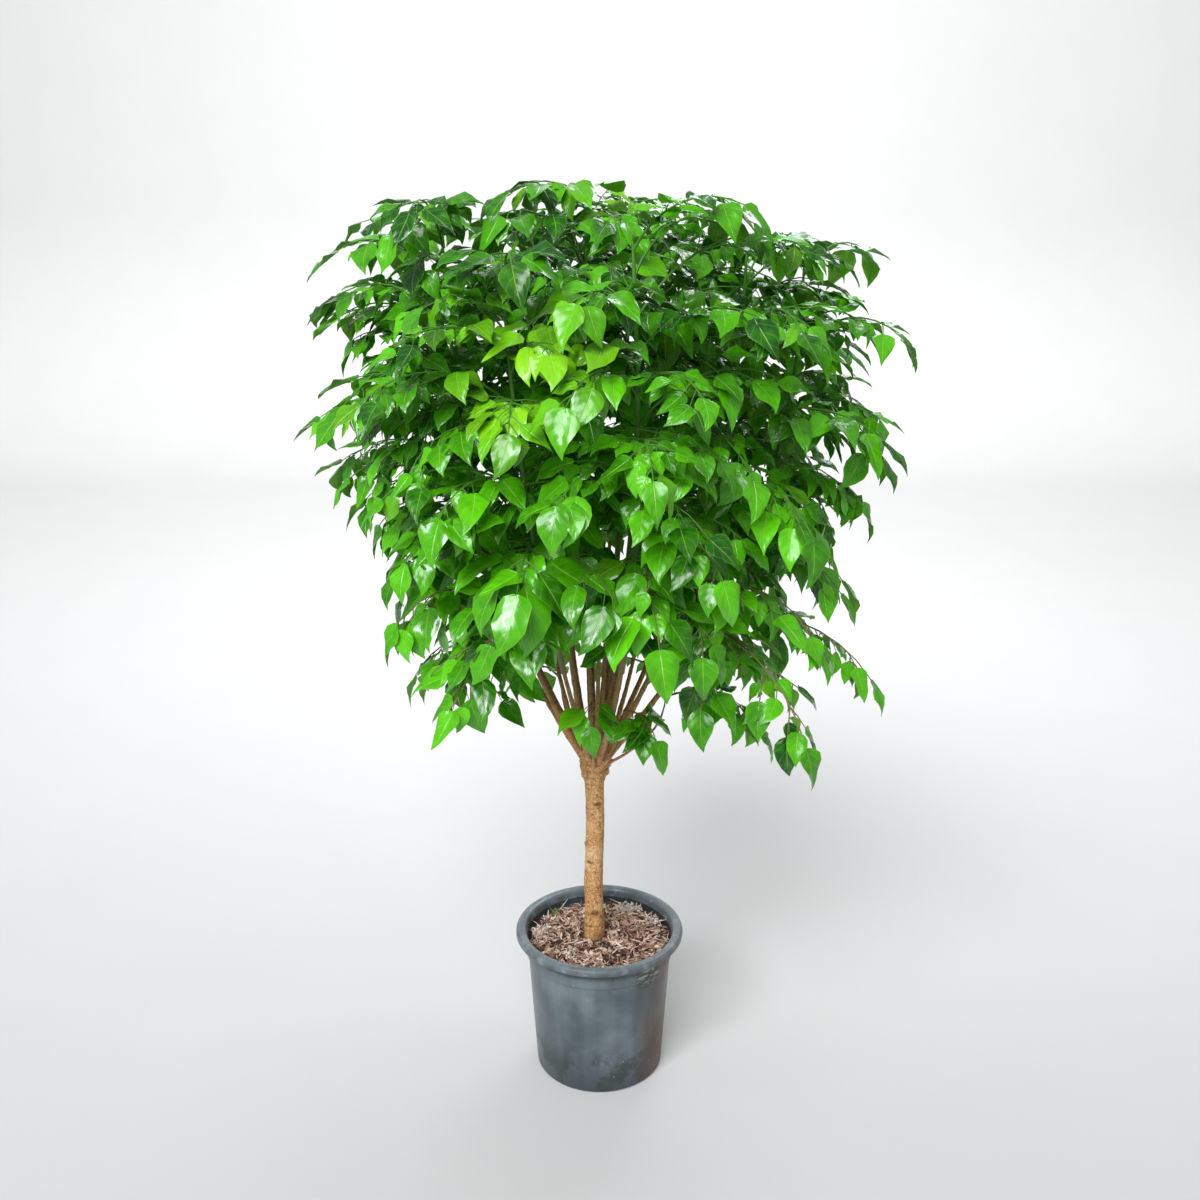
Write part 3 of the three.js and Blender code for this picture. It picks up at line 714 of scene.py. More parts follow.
def leafPlace(one, wider, lean):  # leaves hang a little and turn their faces up and outwards
    look, aim, base = foliageLook, one["aim"], Vector(one["base"])
    share, start, low, high = look["slope"]
    hung = max(low * turn, min(high * turn, share * one["slope"] + start * turn)) + lean
    slope = hung if one.get("isExtra") else mix(one["slope"], hung, 0.5)
    way = Vector(heading(aim, slope))
    left = Vector((-math.sin(aim), math.cos(aim), 0))
    up = Vector(heading(aim, slope + math.pi / 2))
    grown = way.cross(left * math.cos(one["roll"]) + up * math.sin(one["roll"]))
    sky = Vector((base.x, base.y, 0)).normalized() * look["outwards"] + Vector((0, 0, look["upwards"]))
    face = grown.lerp(sky, look["faceOut" if one.get("isExtra") else "solidFaceOut"])
    across = face.cross(way).normalized()
    axes = Matrix((way, across, way.cross(across))).transposed().to_4x4()
    big = max(0, 1 - math.dist(one["base"], look["bigLeaves"][:3]) / look["bigLeaves"][3])
    size = one["size"] * (1 + look["bigger"] * big) * (look["atHead"] if isAtHead(one["base"]) else 1)
    place = Matrix.Translation(base * mm + Vector((trunkSize["offset"] * mm, 0, 0)))
    return place @ axes @ Matrix.Diagonal((size, size * wider, size, 1))


def youthAt(place):
    near = (1 - math.dist(place, shoot[:3]) / shoot[3] for shoot in foliageLook["youngShoots"])
    return max(0, *near)


def toneAt(stem, height):
    low, high, *shift = foliageLook["paintedShadeByHeight"]
    level = min(1, max(0, (height - low) / (high - low)))
    return 0.5 + (foliageLook["shootTone"] if stem["isShoot"] else mix(*shift, level))


def stemLine(stem):
    low, count = stemRule["barkEnds"] - 0.004, 5 if stem["isShoot"] else 20
    shares = [mix(low, 1, k / count) for k in range(count + 1)]
    return [(stemPoint(stem, t), stemRadius(stem, t) * (0.6 if t == 1 else 1)) for t in shares]


def ribPoints(rib):  # an extra rib goes only as far as its last leaflet
    points = [place[0] for place in rib["line"]]
    if rib.get("isExtra"):
        sources = [one.get("twig", one)["source"] for one in rib["leaflets"]]
        last = max(sources, key=lambda source: math.dist(points[0], source))
        points = [p for p in points if math.dist(points[0], p) < math.dist(points[0], last) - 1] + [last]
    return points


def makeFoliage(stem, own, rng):
    look, ribLines, lines, parts = foliageLook, [], [], []
    for rib in own:
        points = ribPoints(rib)
        last = len(points) - 1
        ribLines.append([(point, mix(*look["ribThick"], k / last)) for k, point in enumerate(points)])
        frondTone = rng.uniform(-look["frondTone"], look["frondTone"])
        for one in rib["leaflets"]:
            if one["stalk"]:
                middle = between(one["source"], one["base"], 0.5)
                lifted = move(middle, (0, 0, 1), look["stalkLift"] * one["stalk"])
                lines.append(list(zip((one["source"], lifted, one["base"]), look["stalkThick"])))
            ownTone = rng.uniform(-look["leafTone"], look["leafTone"])
            tone = min(1, max(0, toneAt(stem, one["base"][2]) + frondTone + ownTone))
            tint = look["youngTint"] if rng.random() < look["youngChance"] else 0
            kind, wider = rng.choice(leafKinds), rng.uniform(*look["widths"])
            place = leafPlace(one, wider, rng.uniform(-1, 1) * look["lean"] * turn)
            youth = min(1, 1.3 * youthAt(one["base"]) + tint)
            parts.append(copyOf(kind, place, {"tone": tone, "youth": youth}))
    main = tubes(stem["name"] + "_stem", [stemLine(stem)], 10, greenStem)
    fronds = tubes(stem["name"] + "_ribs", ribLines, 6, greenStem)
    stalks = tubes(stem["name"] + "_stalks", lines, 4, greenStem)
    for piece in (main, fronds, stalks):
        piece.data.transform(Matrix.Translation((trunkSize["offset"] * mm, 0, 0)))
    piece = joined([main, fronds, stalks, *parts], stem["name"] + "_foliage")
    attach(piece, "root")
    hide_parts(stem["name"])
    return piece


draw = drawFrom(fuller["seed"])
ribs += growInnerFronds(draw)
for rib in ribs:
    growBetween(rib, draw)
ribs = [rib for rib in ribs if rib["leaflets"]]
rng = random.Random(5)
for stem in allStems:
    makeFoliage(stem, [rib for rib in ribs if rib["stem"] == stem["index"]], rng)
for leaf in leafKinds:
    bpy.data.objects.remove(leaf)
print("foliage:", len(ribs), "fronds,", sum(len(rib["leaflets"]) for rib in ribs), "leaflets")

thinStems = [  # the lesser stems of the head: azimuth, root, reach and thickness
    {"azimuth": azimuth * turn, "twist": 0, "root": root, "reach": reach, "top": 1240, "thick": thick}
    for azimuth, root, reach, thick in (
        (-165, 16, 110, 0.7), (-140, 13, 80, 0.78), (-122, 16, 110, 0.7), (-100, 12, 66, 0.8),
        (-83, 17, 104, 0.72), (-62, 12, 60, 0.8), (-46, 16, 108, 0.72), (-28, 14, 80, 0.78),
        (-8, 16, 112, 0.7), (25, 13, 74, 0.76), (60, 16, 96, 0.72), (95, 12, 62, 0.8),
        (130, 16, 92, 0.74), (160, 12, 60, 0.8))
]

trunkForm = {  # millimetres; each ring is its height, its radius and its sideways place
    "rings": [
        (174, 19, 0, 0), (245, 19.4, 0, 0), (262, 18.6, 0, 0), (289, 17.4, 0.5, 0),
        (325, 16.6, -0.8, 0.5), (360, 16.9, -1.6, 1), (415, 16.2, 0.3, 0), (470, 16.3, 1.8, -1),
        (520, 16.4, 1.2, 0), (540, 16.8, 0.6, 0), (556, 17.5, 0, 0), (570, 18.5, 0, 0),
        (584, 17, 0, 0), (594, 10, 0, 0)],
    "sides": 24, "voxel": 2.3, "slim": 0.74, "thinEnds": 0.62,
    "knots": [(-2, -17, 300, 7.5, 2.4), (8, -15, 531, 5, 1.6), (-15, 8, 430, 6, 2), (-12, -12, 350, 4, 1.2)],
    "knotOut": 16,  # a knot's place, width and height; how far from the axis it sits
    "scars": [(-3, -16, 515, 10), (-8, -17, 304, 11), (-17, -13, 402, 8)],  # place and width
    "swell": [(13.5, 558, 7), (17.5, 570, 7.5), (20.5, 585, 7.5)],  # out from the axis, height, radius
    "lumps": 14, "lumpDepth": 1.6,
}

barkLook = {  # sizes of its patterns in millimetres, and its colours
    "grain": 4.167, "flecks": 3.704, "patches": 26.3, "pores": 5.26, "rings": 90.9,
    "colours": [(0, "#b4793f"), (0.5, "#d39b60"), (1, "#e6bb86")],
    "scarFlat": 2.2, "ringFlat": 12, "stretch": 0.6, "relief": 1.2,
}


def makeBarkMaterial():
    # Young woody bark: a thin warm tan cork skin with fine lengthwise cracks and small raised
    # pores, dull all over, turning green where the stems are still growing; its hollows hold painted shade.
    look = barkLook
    material, tree, shader = newMaterial("young_tan_bark", Roughness=0.78, IOR=1.45)
    place = addNode(tree, "TexCoord", out=3)
    longways = addNode(tree, "Mapping", {0: place, 3: (1, 1, look["stretch"])})
    flatter = addNode(tree, "Mapping", {0: place, 3: (1, 1, look["ringFlat"])})
    grain = addNode(tree, "TexNoise", {
        0: longways, "Scale": perMetre(look["grain"]), "Detail": 5, "Roughness": 0.72})
    fleck = addNode(tree, "TexNoise", {
        0: place, "Scale": perMetre(look["flecks"]), "Detail": 4, "Roughness": 0.65})
    cloud = addNode(tree, "TexNoise", {0: place, "Scale": perMetre(look["patches"]), "Detail": 4})
    pores = addNode(tree, "TexVoronoi", {0: longways, "Scale": perMetre(look["pores"])})
    rings = addNode(tree, "TexNoise", {0: flatter, "Scale": perMetre(look["rings"]), "Detail": 3})
    height = addNode(tree, "SeparateXYZ", {0: place}, out=2)
    wander = addNode(tree, "Math", {0: cloud, 1: 0.08, 2: height}, operation="MULTIPLY_ADD")
    patch = addNode(tree, "MapRange", {0: cloud, 1: 0.3, 2: 0.7})
    colour = addNode(tree, "ValToRGB", {0: patch}, stops=look["colours"])
    marks = {
        "crack": (grain, 0.38, 0.47, 0.8, 0, "#5a371c", 1),
        "fleck": (fleck, 0.52, 0.62, 0, 0.75, "#f3d6aa", 1),
        "pore": (pores, 0.1, 0.26, 0.3, 0, "#6d4725", 1),
        "green": (wander, 0.62, 0.84, 0.05, 0.8, "#7d6a40", 1),
        "foot": (wander, 0.285, 0.305, 0.6, 0, "#5a432d", 1),
        "ring": (rings, 0.61, 0.7, 0, 0.5, "#7a4f2c", 1),
    }
    tall = look["scarFlat"]
    flat = addNode(tree, "Mapping", {0: place, 3: (1, 1, tall)})
    for x, y, z, wide in trunkForm["scars"]:
        centre = (x * mm, y * mm, tall * z * mm)
        far = addNode(tree, "VectorMath", {0: flat, 1: centre}, out=1, operation="DISTANCE")
        far = addNode(tree, "Math", {0: grain, 1: 0.004, 2: far}, operation="MULTIPLY_ADD")
        marks[f"scar at {z}"] = (far, wide * mm * 0.7, wide * mm * 1.3, 0.8, 0, "#5c3a22", 1)
    # painted shade: hollows found by the surface's pointiness are painted darker, standing for shade in the
    # bark's crevices
    hollow = addNode(tree, "NewGeometry", out=7)
    marks["crevice"] = (hollow, 0.43, 0.492, 0.8, 0, "#4a2e1b", 1)
    colour, strengths = layMarks(tree, colour, marks)
    tree.links.new(colour, shader.inputs["Base Color"])
    relief = addNode(tree, "Math", {0: strengths["pore"], 1: 0.5, 2: grain}, operation="MULTIPLY_ADD")
    relief = addNode(tree, "Math", {0: strengths["ring"], 1: -0.7, 2: relief}, operation="MULTIPLY_ADD")
    bump = addNode(tree, "Bump", {"Strength": 0.7, "Distance": look["relief"] * mm, "Height": relief})
    tree.links.new(bump, shader.inputs["Normal"])
    return material


def modelKnots():  # small rings on the bark where twigs were cut
    knots = []
    for x, y, z, wide, high in trunkForm["knots"]:
        deselectAll()
        way, out = math.atan2(y, x), trunkForm["knotOut"]
        bpy.ops.mesh.primitive_torus_add(
            major_radius=wide * 0.62 * mm, minor_radius=high * mm, major_segments=20, minor_segments=8,
            location=(math.cos(way) * out * mm, math.sin(way) * out * mm, z * mm),
            rotation=(math.pi / 2, 0, way + math.pi / 2))
        bpy.ops.object.transform_apply(location=True, rotation=True, scale=True)
        knots.append(bpy.context.object)
    return knots


def modelSwellings():  # the swollen foot of each stem runs down the head of the trunk
    swellings = []
    for stem in allStems[:stemRule["outer"]]:
        azimuth = stem["azimuth"]
        for k, (out, z, radius) in enumerate(trunkForm["swell"]):
            deselectAll()
            x = (out + 2.5 * math.sin(5 * azimuth + k)) * math.cos(azimuth)
            bpy.ops.mesh.primitive_ico_sphere_add(
                subdivisions=2, radius=radius * stem["thick"] * mm,
                location=(x * mm, out * math.sin(azimuth) * mm, z * mm))
            bpy.ops.object.transform_apply(location=True)
            swellings.append(bpy.context.object)
    return swellings


def makeTrunk():
    look, bark = trunkForm, makeBarkMaterial()
    z, radius, *_ = look["rings"][0]
    deselectAll()
    bpy.ops.mesh.primitive_circle_add(vertices=look["sides"], radius=radius * mm, fill_type="NGON",
                                      location=(0, 0, z * mm))
    piece = named("trunk_core")
    bpy.ops.object.transform_apply(location=True)
    bpy.ops.object.mode_set(mode="EDIT")
    for last, ring in zip(look["rings"], look["rings"][1:]):
        centre = (ring[2] * mm, ring[3] * mm, ring[0] * mm)
        bpy.ops.mesh.extrude_region_move(TRANSFORM_OT_translate={
            "value": ((ring[2] - last[2]) * mm, (ring[3] - last[3]) * mm, (ring[0] - last[0]) * mm)})
        share = ring[1] / last[1]
        bpy.ops.transform.resize(value=(share, share, 1), center_override=centre)
    bpy.ops.object.mode_set(mode="OBJECT")
    lines = []
    for stem in allStems:
        low, slim = (-0.22, 1) if stem["isShoot"] else (-0.16, look["slim"])
        shares = [mix(low, 1.01, k / 9) * stemRule["barkEnds"] for k in range(10)]
        lines.append([(stemPoint(stem, t), stemRadius(stem, t) * slim * (1.15 if t < 0.01 else 1))
                      for t in shares])
    for stem in thinStems:
        shares = [mix(-0.04, look["thinEnds"], k / 16) for k in range(17)]
        lines.append([(stemPoint(stem, t), stemRadius(stem, t) * (1.2 if t < 0.01 else 1)) for t in shares])
    stems = tubes("trunk_stems", lines, 14, bark)
    piece = joined([piece, stems, *modelKnots(), *modelSwellings()], "trunk_bark")
    piece.data.transform(Matrix.Translation((trunkSize["offset"] * mm, 0, 0)))
    settled(piece)
    remesh = piece.modifiers.new("oneSkin", "REMESH")
    remesh.mode, remesh.voxel_size = "VOXEL", look["voxel"] * mm
    smooth = piece.modifiers.new("soften", "SMOOTH")
    smooth.factor, smooth.iterations = 0.5, 2
    lumps = bpy.data.textures.new("barkLumps", "CLOUDS")
    lumps.noise_scale, lumps.noise_depth = look["lumps"] * mm, 3
    uneven = piece.modifiers.new("lumps", "DISPLACE")
    uneven.texture, uneven.strength, uneven.mid_level = lumps, look["lumpDepth"] * mm, 0.5
    applyModifiers(piece)
    piece.data.materials.clear()
    piece.data.materials.append(bark)
    bpy.ops.object.shade_smooth()
    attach(piece, "root")
    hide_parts("trunk")
    return piece


trunkPiece = makeTrunk()
print("trunk:", len(trunkPiece.data.polygons), "faces")

potForm = {  # its outline from under its middle round to its floor: radius and height in millimetres
    "outline": [
        (50, 0), (53, 3), (100, 3), (102, 0), (111, 0), (114, 4), (117.3, 55), (120.6, 106), (124, 158),
        (127, 205), (127.6, 219.5), (130.9, 222.5), (131.6, 254.5), (145, 255.5), (148.6, 257), (150, 260),
        (150, 264), (148.6, 267.6), (145.6, 269.6), (141, 270), (136, 269.4), (133, 267.6), (131, 264),
        (126.4, 230), (117.4, 108), (111.4, 8), (108.4, 6)],
    "sides": 128, "drainHoles": 6, "drainRadius": 6, "drainCircle": 75, "edge": 1.1,
    # a dent under the lip, in metres
    "crease": (0.086, -0.097, 0.236), "creaseSize": 0.02, "creaseDepth": 0.028,
}

potLook = {  # sizes of its patterns in millimetres, and its colours
    "clouds": 111.1, "flow": 29.4, "flowStretch": 0.12, "fine": 3.03, "scratches": 16.67, "algae": 58.8,
    "dust": 13.33, "tears": 22.2, "scuffs": 29.4, "relief": 0.6,
    "colours": [(0.5, "#434d54"), (0.7, "#58636a"), (0.9, "#727d84")],
}


def makePotMaterial():
    # Moulded polypropylene, dark blue-grey: a smooth, slightly waxy skin with cloudy marks from
    # handling, faint lengthwise flow lines, chalky scratches, and soil dried down one side and on the lip;
    # over it a painted highlight along the top of the lip, a painted shadow under the lip, and darkening
    # towards the foot.
    look = potLook
    material, tree, shader = newMaterial("moulded_grey_polypropylene", IOR=1.49, Specular_IOR_Level=0.4,
                                         Coat_Weight=0.1, Coat_Roughness=0.15)
    place = addNode(tree, "TexCoord", out=3)
    side = addNode(tree, "SeparateXYZ", {0: place}, out=0)
    height = addNode(tree, "SeparateXYZ", {0: place}, out=2)
    noises = {}
    for name, turned, upright, detail, rough in (  # upright: under 1 draws a pattern out lengthwise
            ("flow", (0, 0, 0), look["flowStretch"], 3, 0.5), ("clouds", (0, 0, 0), 1, 6, 0.55),
            ("fine", (0, 0, 0), 1, 4, 0.7), ("scratches", (0.5, 0.4, 0.3), 5, 7, 0.8),
            ("algae", (0, 0, 0), 1, 5, 0.6), ("tears", (0, 0.9, 0), 4, 4, 0.7),
            ("scuffs", (0, 0, 0), 1, 5, 0.65)):
        run = addNode(tree, "Mapping", {0: place, 2: turned, 3: (1, 1, upright)})
        noises[name] = addNode(tree, "TexNoise", {
            0: run, "Scale": perMetre(look[name]), "Detail": detail, "Roughness": rough})
    cloud = noises["clouds"]
    both = addNode(tree, "Math", {0: noises["flow"], 1: 0.45, 2: cloud}, operation="MULTIPLY_ADD")
    colour = addNode(tree, "ValToRGB", {0: both}, stops=look["colours"])
    specks = addNode(tree, "TexVoronoi", {0: place, "Scale": perMetre(look["dust"])})
    crease = addNode(tree, "VectorMath", {0: place, 1: potForm["crease"]}, out=1, operation="DISTANCE")
    where = {}
    for name, (source, start, end, low, high) in {
            "damp": (height, 0.05, 0.12, 1, 0), "dusty": (cloud, 0.5, 0.56, 0, 1),
            "below": (height, 0.235, 0.255, 1, 0.35), "blotched": (cloud, 0.36, 0.55, 0.45, 1),
            "crease": (crease, 0.014, 0.042, 1, 0), "onLip": (height, 0.252, 0.256, 0, 1),
            "underLipShadow": (height, 0.236, 0.247, 0, 1)}.items():
        where[name] = addNode(tree, "MapRange", {0: source, 1: start, 2: end, 3: low, 4: high})
    soiled = addNode(tree, "Math", {0: where["below"], 1: where["blotched"]}, operation="MULTIPLY")
    colour, strengths = layMarks(tree, colour, {
        "scratch": (noises["scratches"], 0.66, 0.74, 0, 0.35, "#a8b1b6", 1),
        # the pot is painted darker towards its foot, most where it meets the floor
        "foot": (height, 0.0, 0.085, 0.62, 0, "#2b302f", 1),
        "algae": (noises["algae"], 0.47, 0.56, 0, 0.7, "#27332c", where["damp"]),
        "soil": (side, 0.055, 0.1, 0, 1, "#4c3628", soiled),
        "dust": (specks, 0.05, 0.09, 0.7, 0, "#b9bfc0", where["dusty"]),
        "tear": (noises["tears"], 0.5, 0.43, 0, 0.8, "#23281f", where["crease"]),
        "torn edge": (noises["tears"], 0.53, 0.58, 0, 0.8, "#a9b0ac", where["crease"]),
        "lip dirt": (noises["scuffs"], 0.52, 0.62, 0, 0.6, "#4b463b", where["onLip"]),
        "lip scuff": (noises["scuffs"], 0.44, 0.36, 0, 0.6, "#8d979c", where["onLip"]),
        # painted highlight: the top of the lip is painted lighter all round, and the same mask makes it
        # glossier
        "painted lip highlight and gloss": (height, 0.262, 0.269, 0, 0.4, "#87939b", 1),
        # painted shadow: a dark line painted just under the lip's overhang
        "painted shadow under lip": (height, 0.2548, 0.2552, 0.8, 0, "#1c2226", where["underLipShadow"]),
    })
    tree.links.new(colour, shader.inputs["Base Color"])
    dull = addNode(tree, "MapRange", {0: cloud, 1: 0.35, 2: 0.65, 3: 0.3, 4: 0.48})
    dull = addNode(tree, "Math", {0: strengths["painted lip highlight and gloss"], 1: -0.4, 2: dull}, operation="MULTIPLY_ADD")
    tree.links.new(dull, shader.inputs["Roughness"])
    bump = addNode(tree, "Bump", {"Strength": 0.2, "Distance": look["relief"] * mm, "Height": noises["fine"]})
    tree.links.new(bump, shader.inputs["Normal"])
    return material


def makePot():
    look = potForm
    deselectAll()
    radius, z = look["outline"][0]
    bpy.ops.mesh.primitive_circle_add(vertices=look["sides"], radius=radius * mm, location=(0, 0, z * mm))
    piece = named("pot_shell")
    bpy.ops.object.transform_apply(location=True)
    bpy.ops.object.mode_set(mode="EDIT")
    bpy.ops.mesh.edge_face_add()
    selectVerts(piece, lambda co: True)
    for last, ring in zip(look["outline"], look["outline"][1:]):
        bpy.ops.mesh.extrude_edges_move(TRANSFORM_OT_translate={"value": (0, 0, (ring[1] - last[1]) * mm)})
        share = ring[0] / last[0]
        bpy.ops.transform.resize(value=(share, share, 1), center_override=(0, 0, ring[1] * mm))
    bpy.ops.mesh.edge_face_add()
    bpy.ops.object.mode_set(mode="OBJECT")
    settled(piece)
    for k in range(look["drainHoles"]):
        way = 2 * math.pi * (k + 0.5) / look["drainHoles"]
        at = (look["drainCircle"] * math.cos(way) * mm, look["drainCircle"] * math.sin(way) * mm, 4 * mm)
        deselectAll()
        bpy.ops.mesh.primitive_cylinder_add(
            vertices=24, radius=look["drainRadius"] * mm, depth=30 * mm, location=at)
        drill = bpy.context.object
        cut = piece.modifiers.new("drain", "BOOLEAN")
        cut.operation, cut.object = "DIFFERENCE", drill
        applyModifiers(piece)
        bpy.data.objects.remove(drill)
    rounded = piece.modifiers.new("rounded", "BEVEL")
    rounded.width, rounded.segments, rounded.angle_limit = look["edge"] * mm, 2, 25 * turn
    applyModifiers(piece)
    for vert in piece.data.vertices:  # thin walls never stay quite round
        x, y, z = vert.co
        way = math.atan2(y, x)
        out = 0.4 * math.sin(2 * way + 0.6) + 0.25 * math.sin(5 * way + 9 * z)
        if 0.02 < z < 0.225:
            vert.co = (x * (1 + out * 0.004), y * (1 + out * 0.004), z)
        if 0.15 < z < 0.25:
            far = math.dist(vert.co, look["crease"]) / look["creaseSize"]
            pressed = look["creaseDepth"] * math.exp(-far ** 2)
            vert.co = (x * (1 - pressed), y * (1 - pressed), z)
    piece.data.materials.append(makePotMaterial())
    workOn(piece)
    bpy.ops.object.shade_smooth_by_angle(angle=30 * turn)
    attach(piece, "root")
    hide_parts("pot")
    return piece


potPiece = makePot()
print("pot:", len(potPiece.data.polygons), "faces")

soilForm = {  # millimetres
    "top": 249, "fall": 10, "domeRadius": 129, "lump": 2.6,  # the dome falls so far at that radius
    "rings": 16, "sides": 72, "edge": 126.6, "foot": 108, "bottom": 6.4, "rough": (-1.4, 1.2), "shift": 1.5,
    "clear": 24,  # no bits this near the trunk's axis
    "bitMargin": 7, "tuftMargin": 6, "sproutMargin": 4,  # from the edge
    "tilt": (0.45, 0.32), "lift": (0.2, 3.4), "bitSize": (0.7, 1.25),
    "tufts": [(56, 92, 150, 11), (-104, 20, 26, 8), (-6, -104, 26, 7), (-52, -62, 20, 6), (98, 46, 26, 8)],
    "sprouts": (-88, 78), "sproutBits": 7,
    "crumbs": 3.03, "patches": 9.09, "bitGrain": 2,
}


def soilHeight(x, y):
    look = soilForm
    out = look["top"] - look["fall"] * ((x * x + y * y) / look["domeRadius"] ** 2)
    relief = math.sin(x / 11 + 1.3) * math.cos(y / 13) + 0.6 * math.sin((x - 1.7 * y) / 17)
    return out + look["lump"] * relief


def makeSoilMaterial():
    # Potting mix: shredded bark, coir and peat, damp dark brown with paler dry fibre on top.
    material, tree, shader = newMaterial("bark_potting_mix", Roughness=0.92, IOR=1.4)
    place = addNode(tree, "TexCoord", out=3)
    crumbs = addNode(tree, "TexVoronoi", {0: place, "Scale": perMetre(soilForm["crumbs"]), "Randomness": 1})
    cloud = addNode(tree, "TexNoise", {
        0: place, "Scale": perMetre(soilForm["patches"]), "Detail": 6, "Roughness": 0.7})
    colour = addNode(tree, "ValToRGB", {0: cloud},
                     stops=[(0.3, "#2a1c16"), (0.5, "#573f33"), (0.68, "#86695a")])
    tree.links.new(colour, shader.inputs["Base Color"])
    relief = addNode(tree, "Math", {0: crumbs, 1: cloud}, operation="ADD")
    bump = addNode(tree, "Bump", {"Strength": 1, "Distance": 0.003, "Height": relief})
    tree.links.new(bump, shader.inputs["Normal"])
    return material


bitLook = {  # roughness, and colours from the darkest bits to the palest
    "shredded_bark_chip": (0.85, [(0, "#24160f"), (0.35, "#694839"), (0.7, "#b08a74"), (1, "#f0d8c6")]),
    "dry_coir_fibre": (0.8, [(0, "#7a5645"), (0.5, "#c39f89"), (1, "#f8e8da")]),
    "pale_wood_crumb": (0.9, [(0, "#8f8578"), (0.5, "#c4bcae"), (1, "#ece7dd")]),
    "weathered_fibre": (0.95, [(0, "#94867d"), (0.5, "#cbc0b7"), (1, "#f5efe8")]),
    "seedling_skin": (0.5, [(0, "#6a9a2c"), (1, "#b3cf5a")]),
}


def makeBitMaterial(name):
    # Dry plant fibre, torn or weathered and quite dull, each bit its own shade by its own tone
    # value. A seedling's skin is smoother and green.
    rough, stops = bitLook[name]
    material, tree, shader = newMaterial(name, Roughness=rough, IOR=1.45)
    tone = addNode(tree, "Attribute", out=2, attribute_name="tone")
    place = addNode(tree, "TexCoord", out=3)
    grain = addNode(tree, "TexNoise", {0: place, "Scale": perMetre(soilForm["bitGrain"]), "Detail": 3})
    spread = addNode(tree, "MapRange", {0: grain, 1: 0.3, 2: 0.7, 3: -0.2, 4: 0.2})
    shade = addNode(tree, "Math", {0: tone, 1: spread}, operation="ADD")
    colour = addNode(tree, "ValToRGB", {0: shade}, stops=stops)
    tree.links.new(colour, shader.inputs["Base Color"])
    bump = addNode(tree, "Bump", {"Strength": 0.5, "Distance": 0.001, "Height": grain})
    tree.links.new(bump, shader.inputs["Normal"])
    return material


def modelChip(number, material, long, wide, high):  # a torn flake of bark
    rng = random.Random(number)
    deselectAll()
    bpy.ops.mesh.primitive_cube_add(size=1)
    chip = named(f"chip_{number}")
    bpy.ops.object.mode_set(mode="EDIT")
    bpy.ops.transform.resize(value=(long * mm, wide * mm, high * mm))
    bpy.ops.mesh.subdivide(number_cuts=1)
    bpy.ops.object.mode_set(mode="OBJECT")
    for vert in chip.data.vertices:
        vert.co.x *= rng.uniform(0.6, 1.15)
        vert.co.y *= rng.uniform(0.5, 1.2)
        twist = 0.1 * wide * mm * math.sin(vert.co.x / (long * mm) * 5)
        vert.co.z = vert.co.z * rng.uniform(0.4, 1.2) + twist
    chip.data.materials.append(material)
    return chip


def modelFibre(number, material, long, thick, curl):  # a curled thread that thins at both ends
    rng, steps = random.Random(300 + number), 5
    points, way = [(-long / 2, 0, 0)], rng.uniform(-0.6, 0.6)
    for _ in range(steps):
        way += rng.uniform(-curl, curl)
        x, y, z = points[-1]
        step = long / steps
        rise = rng.uniform(-0.2, 0.4) * thick * 3
        points.append((x + step * math.cos(way), y + step * math.sin(way), z + rise))
    line = [(point, thick * (0.5 if k in (0, steps) else 1)) for k, point in enumerate(points)]
    return tubes(f"fibre_{number}", [line], 4, material)


litter = {  # how each is modelled, its finish, how many lie about, its first number, its models' sizes
    "chips": (modelChip, "shredded_bark_chip", 620, 0,
              ((11, 6, 2.6), (17, 6, 2.4), (7, 6, 3.4), (22, 5, 2.6), (9, 9, 2.4))),
    "fibres": (modelFibre, "dry_coir_fibre", 800, 0,
               ((26, 1.1, 0.9), (38, 0.9, 0.8), (18, 1.3, 1.3), (13, 1.5, 1.4))),
    "crumbs": (modelChip, "pale_wood_crumb", 170, 20, ((3.5, 3, 2.4), (5, 4, 3), (7, 3, 2))),
    "straws": (modelFibre, "pale_wood_crumb", 26, 10, ((34, 0.9, 0.12), (48, 0.8, 0.1))),
    "tufts": (modelFibre, "weathered_fibre", 0, 30, ((22, 1.6, 1.5), (14, 2.2, 1.8))),
}


def bitPlace(x, y, lift, spin, tilts, size):  # on the soil at x and y, in millimetres and radians
    return (Matrix.Translation((x * mm, y * mm, (soilHeight(x, y) + lift) * mm))
            @ Matrix.Rotation(spin, 4, "Z") @ Matrix.Rotation(tilts[0], 4, "X")
            @ Matrix.Rotation(tilts[1], 4, "Y") @ Matrix.Scale(size, 4))


def scatterBits(models, count, rng):  # all over the soil
    look, bits = soilForm, []
    for _ in range(count):
        far, way = (look["edge"] - look["bitMargin"]) * math.sqrt(rng.random()), rng.uniform(0, 2 * math.pi)
        x, y = far * math.cos(way), far * math.sin(way)
        if math.hypot(x - trunkSize["offset"], y) < look["clear"]:
            continue
        place = bitPlace(x, y, tilts=[rng.gauss(0, most) for most in look["tilt"]],
                         lift=rng.uniform(*look["lift"]), spin=rng.uniform(0, 6.28),
                         size=rng.uniform(*look["bitSize"]))
        bits.append(copyOf(rng.choice(models), place, {"tone": rng.uniform(0.05, 0.95) ** 1.2}))
    return bits


